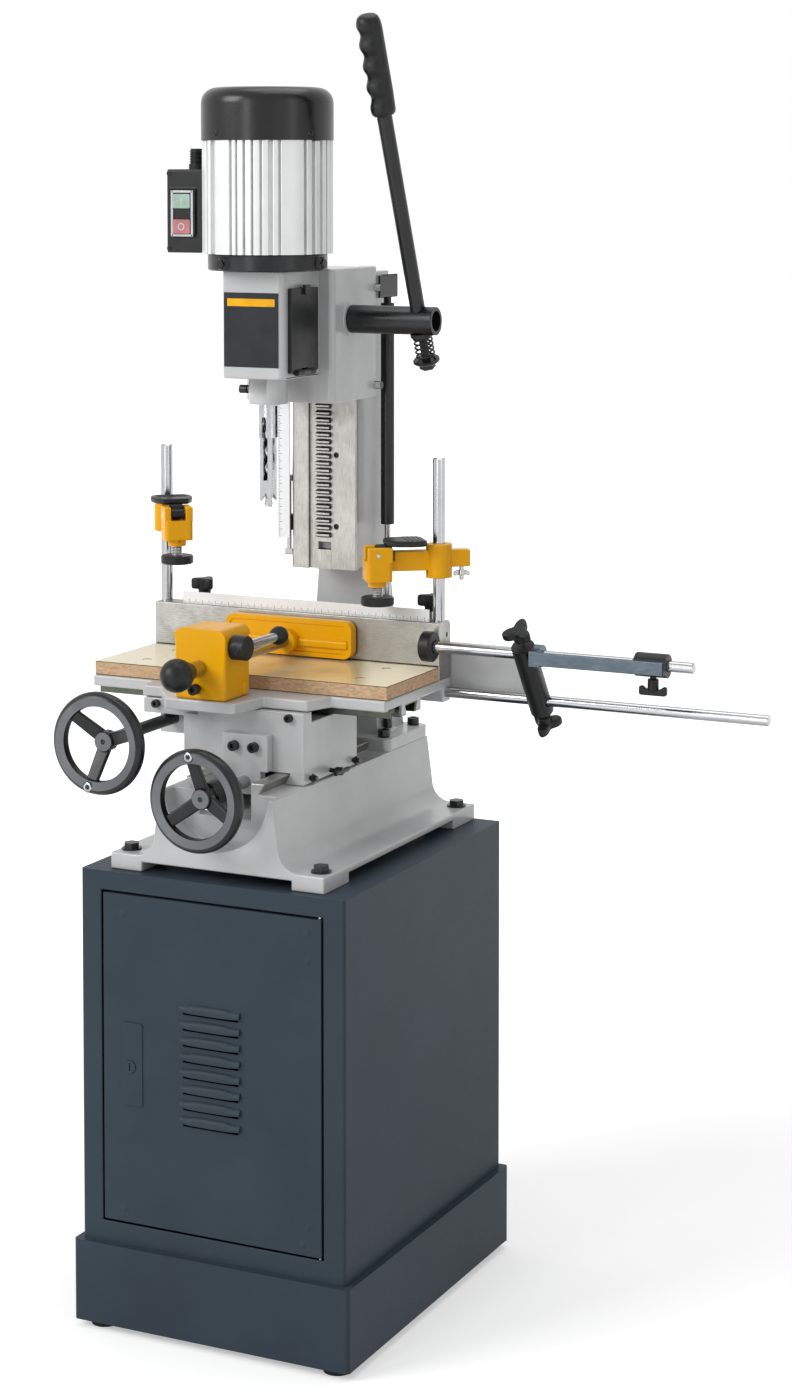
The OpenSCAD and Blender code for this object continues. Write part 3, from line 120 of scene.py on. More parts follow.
def put(tree, kind, sockets=None, **settings):
    """Adds a node: settings are its own properties, sockets its inputs' values or links."""
    node = tree.nodes.new(kind)
    for key, value in settings.items():
        setattr(node, key, value)
    for key, value in (sockets or {}).items():
        if isinstance(value, bpy.types.NodeSocket):
            tree.links.new(value, node.inputs[key])
        else:
            node.inputs[key].default_value = value
    return node


def opened(name):
    """A new material with its tree, its shader and its place in metres."""
    material = bpy.data.materials.new(name)
    material.use_nodes = True
    tree = material.node_tree
    tree.nodes.clear()
    shader = put(tree, "ShaderNodeBsdfPrincipled")
    put(tree, "ShaderNodeOutputMaterial", {"Surface": shader.outputs["BSDF"]})
    return material, tree, shader, put(tree, "ShaderNodeTexCoord").outputs["Object"]


def shown(tree, shader, tone=None, rough=None, normal=None):
    """Links a finish's tone, roughness and bump to its shader."""
    for key, value in (("Base Color", tone), ("Roughness", rough), ("Normal", normal)):
        if value is not None:
            tree.links.new(value, shader.inputs[key])


def surface(name, tint, noises, tone, bumps, rough, **inputs):
    """A finish of noises, each given by its width in mm, its detail and its other settings.
    tone and rough name a noise, or two to be added, with the values at its low and high ends;
    bumps name a noise with its strength and depth in metres, the lowest layer first; inputs
    are plain values of the shader, with _ for a space."""
    material, tree, shader, place = opened(name)
    value = {}
    for key, (width, detail, settings) in noises.items():
        stretch = settings.pop("Stretch", None)
        at = place if stretch is None else put(
            tree, "ShaderNodeMapping", {"Vector": place, "Scale": stretch}).outputs[0]
        value[key] = put(tree, "ShaderNodeTexNoise", {"Vector": at, "Scale": 1000 / width,
                         "Detail": detail, **settings}).outputs["Fac"]

    def ranged(keys, low, high):
        keys, ends = keys.split("+"), (0.3, 0.7)
        source = value[keys[0]]
        if len(keys) == 2:
            source = put(tree, "ShaderNodeMath", {0: source, 1: value[keys[1]]}).outputs[0]
            ends = (0.75, 1.25)
        return put(tree, "ShaderNodeMapRange", {"Value": source, "From Min": ends[0],
                   "From Max": ends[1], "To Min": low, "To Max": high}).outputs[0]

    skin = put(tree, "ShaderNodeMix", {0: 1.0, 6: tint, 7: ranged(*tone)},
               data_type="RGBA", blend_type="MULTIPLY")
    normal = {}
    for key, strength, depth in bumps:
        bump = put(tree, "ShaderNodeBump", {"Height": value[key], "Strength": strength,
                   "Distance": depth, **normal})
        normal = {"Normal": bump.outputs["Normal"]}
    for key, plain in inputs.items():
        shader.inputs[key.replace("_", " ")].default_value = plain
    shown(tree, shader, skin.outputs[2], ranged(*rough), normal["Normal"])
    return material


def enamel(name, tint, coat, spread, shine):
    """Enamel sprayed on a sanded casting: orange peel that breaks up the gloss, the faint
    lumps of the sand mould under it, and slightly uneven tone."""
    noises = {"patches": (55, 4, {}), "peel": (mm("peel"), 2, {}), "lumps": (16, 3, {})}
    return surface(name, tint, noises, ("patches", 1 - spread, 1 + spread * 0.4),
                   (("lumps", 0.35, 0.0009), ("peel", 0.3, 0.00025)), ("lumps", 0.3, 0.42),
                   Specular_IOR_Level=shine, Coat_Weight=coat, Coat_Roughness=0.14)


def slate_coat(name, tint):
    """Powder coat baked on folded sheet: a fine even grain and a low, wide sheen."""
    # Grit of 0.5 mm, drawn at 1.5 mm so that it shows
    noises = {"clouds": (140, 5, {"Roughness": 0.6}), "grit": (1.5, 2, {}), "waves": (90, 1, {})}
    return surface(name, tint, noises, ("clouds", 0.9, 1.1),
                   (("waves", 0.25, 0.002), ("grit", 0.35, 0.0002)), ("grit", 0.4, 0.52),
                   Specular_IOR_Level=0.12)


def moulded(name, tint, rough_low, rough_high, grain, shine=0.28):
    """Moulded plastic: a spark-eroded grain in the skin and a slightly cloudy gloss."""
    # Grain of 0.3 mm, drawn coarser so that it shows
    noises = {"clouds": (22, 3, {}), "pores": (grain, 2, {})}
    return surface(name, tint, noises, ("clouds", 0.85, 1.15), (("pores", 0.3, 0.00015),),
                   ("clouds", rough_low, rough_high), IOR=1.49, Specular_IOR_Level=shine)


def blackened_steel(name, tint):
    """Steel blackened in an oxide bath: dark, with oily smears in its satin gloss."""
    # Turning marks of 0.2 mm, drawn at 0.9 mm
    noises = {"smears": (30, 5, {"Roughness": 0.65}), "marks": (0.9, 1, {})}
    return surface(name, tint, noises, ("smears", 0.7, 1.35), (("marks", 0.22, 0.00012),),
                   ("smears", 0.24, 0.38), Metallic=0.25, Specular_IOR_Level=0.4)


def ground(name, tint, fine, rough_low, rough_high, stretch, stain):
    """Ground or turned metal: fine scratches that run one way and spread the highlight, over
    faint stains. stretch gives how much finer the marks are along x, y and z."""
    noises = {"marks": (fine, 3, {"Roughness": 0.6, "Stretch": stretch}),
              "stains": (28, 5, {"Roughness": 0.62, "Distortion": 0.6})}
    return surface(name, tint, noises, ("marks+stains", 1 - stain, 1 + stain * 0.3),
                   (("marks", 0.18, 0.0001),), ("marks+stains", rough_high, rough_low),
                   Metallic=1.0)


def cast_aluminium(name, tint):
    """Die-cast aluminium under a thin silver-white coat: a soft, nearly white satin."""
    noises = {"clouds": (35, 4, {}), "grain": (1.8, 2, {})}
    return surface(name, tint, noises, ("clouds", 0.95, 1.02), (("grain", 0.25, 0.0002),),
                   ("grain", 0.34, 0.44), Metallic=0.25)


def board_face(name, tint):
    """Melamine pressed on the board: a hard, glossy cream face with a barely seen grain."""
    noises = {"grain": (9, 5, {"Roughness": 0.6, "Stretch": (0.12, 1, 1)}), "haze": (40, 3, {})}
    return surface(name, tint, noises, ("grain", 0.93, 1.03), (("grain", 0.06, 0.0002),),
                   ("haze", 0.16, 0.27), Coat_Weight=0.35, Coat_Roughness=0.08)


def chip_core(name, tint):
    """Sawn edge of pressed board: chips of two to four millimetres, light and dark, with the
    brown glue line of the two faces at its top and bottom."""
    material, tree, shader, place = opened(name)
    run = put(tree, "ShaderNodeMapping", {"Vector": place, "Scale": (0.5, 0.5, 1.3)})
    chips = put(tree, "ShaderNodeTexVoronoi", {"Vector": run.outputs[0], "Scale": 1000 / 2.4,
                "Randomness": 1.0})
    fibre = put(tree, "ShaderNodeTexNoise", {"Vector": run.outputs[0], "Scale": 1000 / 6,
                "Detail": 6, "Roughness": 0.7})
    grey = put(tree, "ShaderNodeSeparateColor", {"Color": chips.outputs["Color"]})
    mixed = put(tree, "ShaderNodeMath", {0: grey.outputs[0], 1: fibre.outputs["Fac"]},
                operation="ADD")
    tone = put(tree, "ShaderNodeMapRange", {"Value": mixed.outputs[0], "From Min": 0.4,
               "From Max": 1.5, "To Min": 0.76, "To Max": 1.16})
    chipped = put(tree, "ShaderNodeMix", {0: 1.0, 6: tint, 7: tone.outputs[0]},
                  data_type="RGBA", blend_type="MULTIPLY")
    height = put(tree, "ShaderNodeSeparateXYZ", {"Vector": place})
    middle = (BOARD_LOW + BOARD_HIGH) / 2000
    away = put(tree, "ShaderNodeMath", {0: height.outputs["Z"], 1: middle},
               operation="SUBTRACT")
    reach = put(tree, "ShaderNodeMath", {0: away.outputs[0]}, operation="ABSOLUTE")
    # The glue line is the outer millimetre of the 18 mm board
    line = put(tree, "ShaderNodeMath", {0: reach.outputs[0], 1: 0.0079},
               operation="GREATER_THAN")
    skin = put(tree, "ShaderNodeMix", {0: line.outputs[0], 6: chipped.outputs[2],
               7: linear("#4c3a2c")}, data_type="RGBA")
    bump = put(tree, "ShaderNodeBump", {"Height": mixed.outputs[0], "Strength": 0.4,
               "Distance": 0.0004})
    shader.inputs["Roughness"].default_value = 0.72
    shown(tree, shader, skin.outputs[2], None, bump.outputs["Normal"])
    return material


def scale_enamel(name, tint, along, start, edge):
    """White enamelled steel rule with printed millimetre ticks, longer at five and ten.
    along is the measuring axis from start, and the ticks stand on the edge, in mm."""
    material, tree, shader, place = opened(name)
    parts = put(tree, "ShaderNodeSeparateXYZ", {"Vector": place})
    run = put(tree, "ShaderNodeMath", {0: parts.outputs[along], 1: 1000.0, 2: -start},
              operation="MULTIPLY_ADD")
    up = put(tree, "ShaderNodeMath", {0: parts.outputs["Z" if along == "X" else "X"],
             1: 1000.0, 2: -edge}, operation="MULTIPLY_ADD")
    ink = None
    # Ticks every 2 mm instead of 1 mm, so that they show, and longer ones every 10 mm
    for pitch, length, width in ((2.0, 3.4, 0.45), (10.0, 6.2, 0.6)):
        turns = put(tree, "ShaderNodeMath", {0: run.outputs[0], 1: pitch},
                    operation="FLOORED_MODULO")
        thin = put(tree, "ShaderNodeMath", {0: turns.outputs[0], 1: width},
                   operation="LESS_THAN")
        short = put(tree, "ShaderNodeMath", {0: up.outputs[0], 1: length},
                    operation="LESS_THAN")
        tick = put(tree, "ShaderNodeMath", {0: thin.outputs[0], 1: short.outputs[0]},
                   operation="MULTIPLY")
        ink = tick if ink is None else put(tree, "ShaderNodeMath", {0: ink.outputs[0],
                                           1: tick.outputs[0]}, operation="MAXIMUM")
    haze = put(tree, "ShaderNodeTexNoise", {"Vector": place, "Scale": 1000 / 18, "Detail": 3})
    rough = put(tree, "ShaderNodeMapRange", {"Value": haze.outputs["Fac"], "From Min": 0.3,
                "From Max": 0.7, "To Min": 0.22, "To Max": 0.34})
    skin = put(tree, "ShaderNodeMix", {0: ink.outputs[0], 6: tint,
               7: linear("#55585c")}, data_type="RGBA")
    shown(tree, shader, skin.outputs[2], rough.outputs[0])
    return material


# Each finish: what makes it, the record's slot that it fills, the material's name, its tint
# as a colour of the panel or a code, and the further values of its function
FINISHES = {
    "grey": (enamel, "grey_paint", "grey_enamel_on_sanded_cast_iron", "grey", 0.35, 0.06, 0.5),
    "yellow": (enamel, "yellow_paint", "yellow_gloss_enamel_on_cast_iron", "yellow",
               0.12, 0.05, 0.15),
    "slate": (slate_coat, "dark_paint", "slate_powder_coat_on_folded_sheet", "slate"),
    "black plastic": (moulded, "black_plastic", "black_moulded_nylon", "black",
                      0.34, 0.46, 1.2),
    "fan paint": (moulded, "black_plastic", "satin_black_paint_on_spun_steel", "#0b0b0c",
                  0.26, 0.3, 3.0, 0.4),
    "green": (moulded, "green_plastic", "green_moulded_ABS", "#9db8aa", 0.25, 0.32, 1.5),
    "red": (moulded, "red_plastic", "red_moulded_ABS", "#b9797a", 0.25, 0.32, 1.5),
    "white plastic": (moulded, "white_enamel", "white_moulded_ABS", "#c3c6c8",
                      0.28, 0.36, 1.5),
    "rubber": (moulded, "rubber", "black_moulded_rubber", "#101011", 0.62, 0.8, 1.6),
    "panel": (moulded, "black_plastic", "dark_polyester_film", "#1d2024", 0.3, 0.36, 4.0),
    "stripe": (moulded, "yellow_paint", "yellow_printed_film", "#f2ad00", 0.3, 0.36, 4.0),
    "blackened": (blackened_steel, "black_steel", "blackened_steel_oiled", "blackened"),
    "bright": (ground, "bright_steel", "ground_bright_steel", "steel",
               1.2, 0.12, 0.2, (1, 1, 1), 0.08),
    "machined": (ground, "black_steel", "machined_wheel_face", "#606265",
                 1.0, 0.28, 0.4, (1, 1, 1), 0.15),
    "tool": (ground, "tool_steel", "ground_tool_steel", "#b4b6b8",
             2.0, 0.16, 0.3, (1, 1, 0.15), 0.25),
    "rail": (ground, "black_steel", "planed_dark_rail_steel", "#565b50",
             1.4, 0.3, 0.42, (0.12, 1, 1), 0.2),
    "arm": (ground, "black_steel", "drawn_grey_steel_strip", "#59646c",
            1.4, 0.3, 0.44, (0.12, 1, 1), 0.25),
    "iron": (ground, "cast_iron", "surface_ground_grey_iron", "iron",
             1.4, 0.34, 0.5, (0.12, 1, 1), 0.3),
    "way": (ground, "cast_iron", "planed_slideway_iron", "iron",
            1.6, 0.32, 0.46, (1, 1, 0.1), 0.26),
    "aluminium": (cast_aluminium, "aluminium", "painted_diecast_aluminium", "aluminium"),
    "board": (board_face, "laminate_board", "cream_melamine_face", "board"),
    "chips": (chip_core, "laminate_board", "sawn_chipboard_edge", "core"),
    "fence rule": (scale_enamel, "white_enamel", "white_enamelled_fence_rule", "#eceff1",
                   "X", -207, FENCE_TOP),
    "depth rule": (scale_enamel, "white_enamel", "white_enamelled_depth_rule", "#eceff1",
                   "Z", 983, -65),
}
made = {}


def finish(key):
    """The material of a finish, made when it is first asked for."""
    if key not in made:
        build, _, name, tint, *values = FINISHES[key]
        code = linear(tint) if tint[0] == "#" else getattr(
            bpy.context.scene.mortiser_colours, tint)
        made[key] = build(name, code, *values)
    return made[key]


# ---- shapes, in millimetres ----

def moved(shape, at):
    bmesh.ops.transform(shape, matrix=at, verts=shape.verts)
    return shape


def placed(at, *turns):
    """A matrix that turns by (degrees, axis) pairs, the last one first, then moves."""
    matrix = Matrix.Translation(Vector(at))
    for angle, axis in turns:
        matrix = matrix @ Matrix.Rotation(math.radians(angle), 4, axis)
    return matrix


def eased(shape, width, segments=2, turn=30, least=0.0, clamp=True):
    """Bevels the sharp edges whose two faces are both larger than least."""
    edges = [edge for edge in shape.edges if len(edge.link_faces) == 2
             and edge.calc_face_angle(0) > math.radians(turn)
             and min(face.calc_area() for face in edge.link_faces) > least]
    bmesh.ops.bevel(shape, geom=edges, offset=width, offset_type="OFFSET", segments=segments,
                    profile=0.5, affect="EDGES", material=-1, clamp_overlap=clamp,
                    loop_slide=True)
    return shape


def turned(outline, steps=64):
    """Spins an outline of (radius, height) pairs round Z and closes its poles."""
    shape = bmesh.new()
    ring = [shape.verts.new((radius, 0, height)) for radius, height in outline]
    line = [shape.edges.new(pair) for pair in zip(ring, ring[1:])]
    bmesh.ops.spin(shape, geom=ring + line, cent=(0, 0, 0), axis=(0, 0, 1),
                   angle=math.tau, steps=steps, use_merge=True)
    bmesh.ops.remove_doubles(shape, verts=shape.verts, dist=0.001)
    bmesh.ops.recalc_face_normals(shape, faces=shape.faces)
    return shape


def rod(start, end, radius, chamfer=0.8, steps=32):
    """A turned bar between two points, its ends chamfered."""
    start, end = Vector(start), Vector(end)
    length = (end - start).length
    shape = turned([(0, 0), (radius - chamfer, 0), (radius, chamfer),
                    (radius, length - chamfer), (radius - chamfer, length), (0, length)], steps)
    aim = (end - start).to_track_quat("Z", "Y").to_matrix().to_4x4()
    return moved(shape, Matrix.Translation(start) @ aim)


def slab(low, high, edge=0.6, segments=2):
    """A cuboid between two corners with eased edges."""
    low, high = Vector(low), Vector(high)
    shape = bmesh.new()
    bmesh.ops.create_cube(shape, size=1, matrix=Matrix.Translation((low + high) / 2)
                          @ Matrix.Diagonal((high - low).to_4d()))
    return eased(shape, edge, segments)


def closed(shape):
    """Fills the open ends and turns all faces outwards."""
    bmesh.ops.holes_fill(shape, edges=[edge for edge in shape.edges if edge.is_boundary])
    bmesh.ops.recalc_face_normals(shape, faces=shape.faces)
    return shape


def raised(shape, grown, height):
    """Moves what an extrusion has made up by height, and returns its vertices and edges."""
    tops = [item for item in grown["geom"] if isinstance(item, bmesh.types.BMVert)]
    bmesh.ops.translate(shape, vec=(0, 0, height), verts=tops)
    return tops, [item for item in grown["geom"] if isinstance(item, bmesh.types.BMEdge)]


def drawn(shape, height):
    """Draws an open ring of edges up by height and closes both ends."""
    raised(shape, bmesh.ops.extrude_edge_only(shape, edges=shape.edges[:]), height)
    return closed(shape)


def prism(points, height, edge=0.6, segments=2):
    """An outline of a few points drawn up by height."""
    shape = bmesh.new()
    ring = [shape.verts.new((x, y, 0)) for x, y in points]
    for pair in zip(ring, ring[1:] + ring[:1]):
        shape.edges.new(pair)
    return eased(drawn(shape, height), edge, segments)


def lobed(radius, depth, height, edge):
    """A hand knob's head: a round ring pulled in between three lobes, drawn up and eased."""
    shape = bmesh.new()
    bmesh.ops.create_circle(shape, cap_ends=False, segments=96, radius=radius)
    for vert in shape.verts:
        angle = math.atan2(vert.co.y, vert.co.x) - math.radians(90)
        vert.co *= 1 - depth * (0.5 - 0.5 * math.cos(3 * angle)) ** 0.8
    drawn(shape, height)
    rims = [rim for rim in shape.edges if rim.calc_face_angle(0) > math.radians(70)]
    bmesh.ops.bevel(shape, geom=rims, offset=edge, offset_type="OFFSET", segments=4,
                    profile=0.5, affect="EDGES", material=-1, clamp_overlap=True)
    return shape


def hexagon(across, height, edge=0.5):
    """A bolt head or nut."""
    shape = bmesh.new()
    bmesh.ops.create_circle(shape, cap_ends=False, segments=6, radius=across / math.sqrt(3))
    return eased(drawn(shape, height), edge, 1)


def copy_of(node):
    """A copy of a CAD node, its loose triangles merged into plain faces."""
    shape = bmesh.new()
    shape.from_mesh(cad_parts[node].data)
    moved(shape, Matrix.Scale(1000, 4))
    bmesh.ops.remove_doubles(shape, verts=shape.verts, dist=0.004)
    bmesh.ops.dissolve_limit(shape, angle_limit=math.radians(0.5), use_dissolve_boundaries=False,
                             verts=shape.verts, edges=shape.edges)
    for face in shape.faces:
        face.material_index = 0
    return shape


def painted(shape, index, test):
    """Gives the faces whose middle and direction pass the test the finish of that index."""
    for face in shape.faces:
        if test(face.calc_center_median(), face.normal):
            face.material_index = index
    return shape


class Piece:
    """One visible piece: shapes in millimetres are gathered into it, each in one of its
    finishes, the first one if no key is given. It stands for the CAD nodes that it names."""

    def __init__(self, name, *finishes, nodes=()):
        self.name, self.finishes, self.nodes, self.mesh = name, finishes, nodes, bmesh.new()

    def add(self, shape, at=None, key=None):
        if at is not None:
            moved(shape, at)
        if key is not None:
            for face in shape.faces:
                face.material_index = self.finishes.index(key)
        part = bpy.data.meshes.new("part")
        shape.to_mesh(part)
        shape.free()
        self.mesh.from_mesh(part)
        bpy.data.meshes.remove(part)
        return self

    def done(self, body, *nodes):
        """Finishes the piece, hangs it on its body and hides the nodes that it stands for."""
        nodes = nodes or self.nodes
        moved(self.mesh, Matrix.Scale(0.001, 4))
        for face in self.mesh.faces:
            face.smooth = True
        data = bpy.data.meshes.new(self.name)
        self.mesh.to_mesh(data)
        self.mesh.free()
        for key in self.finishes:
            data.materials.append(finish(key))
        data.set_sharp_from_angle(angle=math.radians(SMOOTH_BELOW))
        piece = bpy.data.objects.new(self.name, data)
        bpy.context.scene.collection.objects.link(piece)
        # The large flats keep their own direction, and only the eased edges are shaded round
        flat = piece.modifiers.new("flats", "WEIGHTED_NORMAL")
        flat.keep_sharp = True
        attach(piece, body)
        if nodes:
            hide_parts(*nodes)
        return piece


def redressed(node, *finishes, edge=0.6, least=4.0, segments=2, paint=(), clamp=False):
    """The piece that stands for a CAD node with eased edges; paint holds (index, test)."""
    shape = eased(copy_of(node), edge, segments, least=least, clamp=clamp)
    for index, test in paint:
        painted(shape, index, test)
    return Piece(node + "_finished", *finishes, nodes=(node,)).add(shape)


def dressed(node, key):
    """Gives a CAD node that keeps its shape its finish."""
    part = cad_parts[node]
    part.data.materials.clear()
    part.data.materials.append(finish(key))


# ---- pieces ----

def seen(tree):
    """One for rays from the camera, from gloss and through glass, nought for the others."""
    path = put(tree, "ShaderNodeLightPath").outputs
    near = put(tree, "ShaderNodeMath", {0: path["Is Camera Ray"], 1: path["Is Glossy Ray"]},
               operation="MAXIMUM")
    return put(tree, "ShaderNodeMath", {0: near.outputs[0], 1: path["Is Transmission Ray"]},
               operation="MAXIMUM").outputs[0]


class Stage(bpy.types.Operator):
    """Sets the pale floor, the soft lamps, the white surround and the camera"""
    bl_idname = "mortiser.stage"
    bl_label = "Studio and camera"

    def execute(self, context):
        scene = context.scene
        scene.view_settings.view_transform = "Standard"
        shape = bmesh.new()
        bmesh.ops.create_grid(shape, x_segments=1, y_segments=1, size=30)
        data = bpy.data.meshes.new("floor")
        shape.to_mesh(data)
        shape.free()
        floor = bpy.data.objects.new("floor", data)
        scene.collection.objects.link(floor)
        material = bpy.data.materials.new("painted_studio_floor")
        material.use_nodes = True
        tree = material.node_tree
        tree.nodes.clear()
        # Matt white floor paint; what the camera sees of it is lifted to the white surround,
        # and the object's shadow stays
        paint = put(tree, "ShaderNodeBsdfDiffuse", {"Color": linear("#e6e6e6")})
        spot = put(tree, "ShaderNodeTexCoord").outputs["Object"]
        reach = put(tree, "ShaderNodeVectorMath", {0: spot}, operation="LENGTH")
        fade = put(tree, "ShaderNodeMapRange", {"Value": reach.outputs["Value"],
                   "From Min": 0.8, "From Max": 2.4, "To Min": 0.42, "To Max": 1.0},
                   interpolation_type="SMOOTHSTEP")
        lift = put(tree, "ShaderNodeEmission", {"Color": (1, 1, 1, 1),
                   "Strength": fade.outputs["Result"]})
        both = put(tree, "ShaderNodeAddShader", {0: paint.outputs[0], 1: lift.outputs[0]})
        mixed = put(tree, "ShaderNodeMixShader", {0: seen(tree), 1: paint.outputs[0],
                    2: both.outputs[0]})
        put(tree, "ShaderNodeOutputMaterial", {"Surface": mixed.outputs[0]})
        data.materials.append(material)

        world = bpy.data.worlds.new("white_studio")
        world.use_nodes = True
        tree = world.node_tree
        tree.nodes.clear()
        soft = put(tree, "ShaderNodeBackground", {"Color": (1, 1, 1, 1), "Strength": 0.38})
        white = put(tree, "ShaderNodeBackground", {"Color": (1, 1, 1, 1), "Strength": 1.0})
        mixed = put(tree, "ShaderNodeMixShader", {0: seen(tree), 1: soft.outputs[0],
                    2: white.outputs[0]})
        put(tree, "ShaderNodeOutputWorld", {"Surface": mixed.outputs[0]})
        scene.world = world

        for name, place, power, width in (("key_lamp", (-2.6, -3.4, 3.2), 130, 2.2),
                                          ("fill_lamp", (3.4, -2.2, 2.2), 6, 2.4),
                                          ("top_lamp", (0.3, 0.4, 4.2), 48, 2.6),
                                          ("left_strip", (-0.42, -3.25, 1.6), 15, 0.4),
                                          ("right_strip", (2.87, -0.95, 1.6), 5, 0.4)):
            lamp = bpy.data.lights.new(name, "AREA")
            lamp.energy, lamp.size = power, width
            if "strip" in name:
                # Tall soft strips, which round black parts show as upright highlights
                lamp.shape, lamp.size_y = "RECTANGLE", 2.0
            holder = bpy.data.objects.new(name, lamp)
            holder.location = place
            aim = Vector((0, 0, 0.9)) - holder.location
            holder.rotation_euler = aim.to_track_quat("-Z", "Y").to_euler()
            scene.collection.objects.link(holder)

        lens = bpy.data.cameras.new("camera")
        lens.sensor_fit, lens.sensor_height, lens.lens = "VERTICAL", 36, 72.62
        lens.shift_y = -0.2594
        lens.clip_end = 60
        camera = bpy.data.objects.new("camera", lens)
        camera.location = (1.694, -3.192, 1.4654)
        camera.rotation_euler = Vector((-0.4366, 0.8976, -0.0616)).to_track_quat(
            "-Z", "Y").to_euler()
        scene.collection.objects.link(camera)
        scene.camera = camera
        return {"FINISHED"}


class Cabinet(bpy.types.Operator):
    """Finishes the feet, plinth, shell, door with its louvres, pivots and latch"""
    bl_idname = "mortiser.cabinet"
    bl_label = "Cabinet"

    def execute(self, context):
        edge = mm("plate_edge")
        redressed("cabinet_feet", "rubber", edge=1.2, least=30).done("stand")
        redressed("cabinet_plinth", "slate", edge=edge * 1.5, least=300).done("stand")
        redressed("cabinet_shell", "slate", edge=edge * 1.3, least=300).done("stand")
        dressed("door_pivots", "bright")
        door = redressed("cabinet_door", "slate", edge=edge * 0.8, least=120)
        hood = mm("hood")
        for row in range(LOUVRES):
            height = LOUVRE_MIDDLE + (row - (LOUVRES - 1) / 2) * LOUVRE_PITCH
            dome = bmesh.new()
            bmesh.ops.create_uvsphere(dome, u_segments=40, v_segments=20, radius=1)
            # A pressed louvre: a long dome cut open along its lower side
            for vert in dome.verts:
                vert.co.x = math.copysign(abs(vert.co.x) ** 0.55, vert.co.x)
            for spot, way in (((0, 0, -0.02), (0, 0, -1)), ((0, 0.02, 0), (0, 1, 0))):
                cut = dome.verts[:] + dome.edges[:] + dome.faces[:]
                bmesh.ops.bisect_plane(dome, geom=cut, plane_co=spot, plane_no=way,
                                       clear_outer=True)
            door.add(dome, Matrix.Translation((0, DOOR_FRONT + 0.4, height + 1))
                     @ Matrix.Diagonal((42, hood + 0.4, 10.5, 1)))
        for x, z in ((135, 540), (135, 506), (-124, 534), (135, 178), (128, 156), (-124, 160)):
            # Weld dimples, where the hinge and latch plates are spotted on behind
            spot = turned([(0, 1.3), (1.6, 1.1), (3.6, 0.45), (5.8, -0.1)], 24)
            door.add(spot, placed((x, DOOR_FRONT, z), (90, "X")))
        door.done("door")
        redressed("door_latch", "slate", edge=0.4, least=6).done("latch")
        return {"FINISHED"}


class Castings(bpy.types.Operator):
    """Finishes the base, the column and what is fixed to them"""
    bl_idname = "mortiser.castings"
    bl_label = "Base and column"

    def execute(self, context):
        edge = mm("casting_edge")
        redressed("base_casting", "grey", "way", edge=edge, least=90, segments=3, paint=(
            (1, lambda c, n: c.z > 693 and abs(c.x) < 58 and c.y < 102),)).done("stand")
        redressed("column", "grey", "way", "bright", edge=edge * 0.6, least=60, paint=(
            (1, lambda c, n: c.z > 934 and c.y < 84 and abs(c.x) < 47.2),
            (2, lambda c, n: c.x < -47 and c.y < 84 and c.z < 1060))).done("stand")
        redressed("machine_bolts", "blackened", edge=0.5, least=8).done("stand")
        # The teeth's flat front faces are painted light planed iron, a painted highlight where the
        # tips catch the light; the rest is the rack's blackened steel
        redressed("feed_rack", "blackened", "way", edge=0.25, least=20, paint=(
            (1, lambda c, n: n.y < -0.9 and c.y < 76),)).done("stand")
        redressed("gas_rod", "bright", "blackened", edge=0.5, least=4, paint=(
            (1, lambda c, n: 715 < c.z < 733 and math.hypot(c.x - 58, c.y - 146) > 4.6),)).done(
                "stand")
        redressed("depth_stop", "blackened", "bright", edge=0.6, least=5, paint=(
            (1, lambda c, n: c.x < -58.6),)).done("depth_stop")
        return {"FINISHED"}


class Head(bpy.types.Operator):
    """Finishes the head casting, its front panel, the chuck cover, gas strut and scale"""
    bl_idname = "mortiser.head"
    bl_label = "Head"

    def execute(self, context):
        edge = mm("casting_edge")
        dark = (1, lambda c, n: c.x > 64.2 and c.y > 95 and c.y < 160 or c.x < -27
                and c.z < 1186 and c.y < -60 or c.x > 43.9 and c.z < 1212 and c.y < -50
                and c.z > 1196.5)
        bores = (2, lambda c, n: c.y > 70 and c.y < 103 and abs(c.x) < 48 and abs(n.z) < 0.5)
        redressed("head_casting", "grey", "blackened", "way", edge=edge * 1.2, least=140,
                  segments=3, paint=(dark, bores)).done("head")
        panel = Piece("front_panel", "panel", "stripe")
        panel.add(slab((-39, HEAD_FRONT - 0.5, 1211), (38, HEAD_FRONT + 0.1, 1304), 0.2))
        panel.add(slab((-34, HEAD_FRONT - 0.75, 1287), (33, HEAD_FRONT - 0.4, 1296.5), 0.1),
                  key="stripe")
        panel.done("head")
        redressed("chuck_cover", "black plastic", edge=0.8, least=30, clamp=True).done(
            "chuck_cover")
        redressed("gas_cylinder", "blackened", edge=0.8, least=10).done("head")
        redressed("depth_scale", "depth rule", "bright", edge=0.2, least=10, paint=(
            (1, lambda c, n: c.y > 71.2),)).done("head")
        return {"FINISHED"}


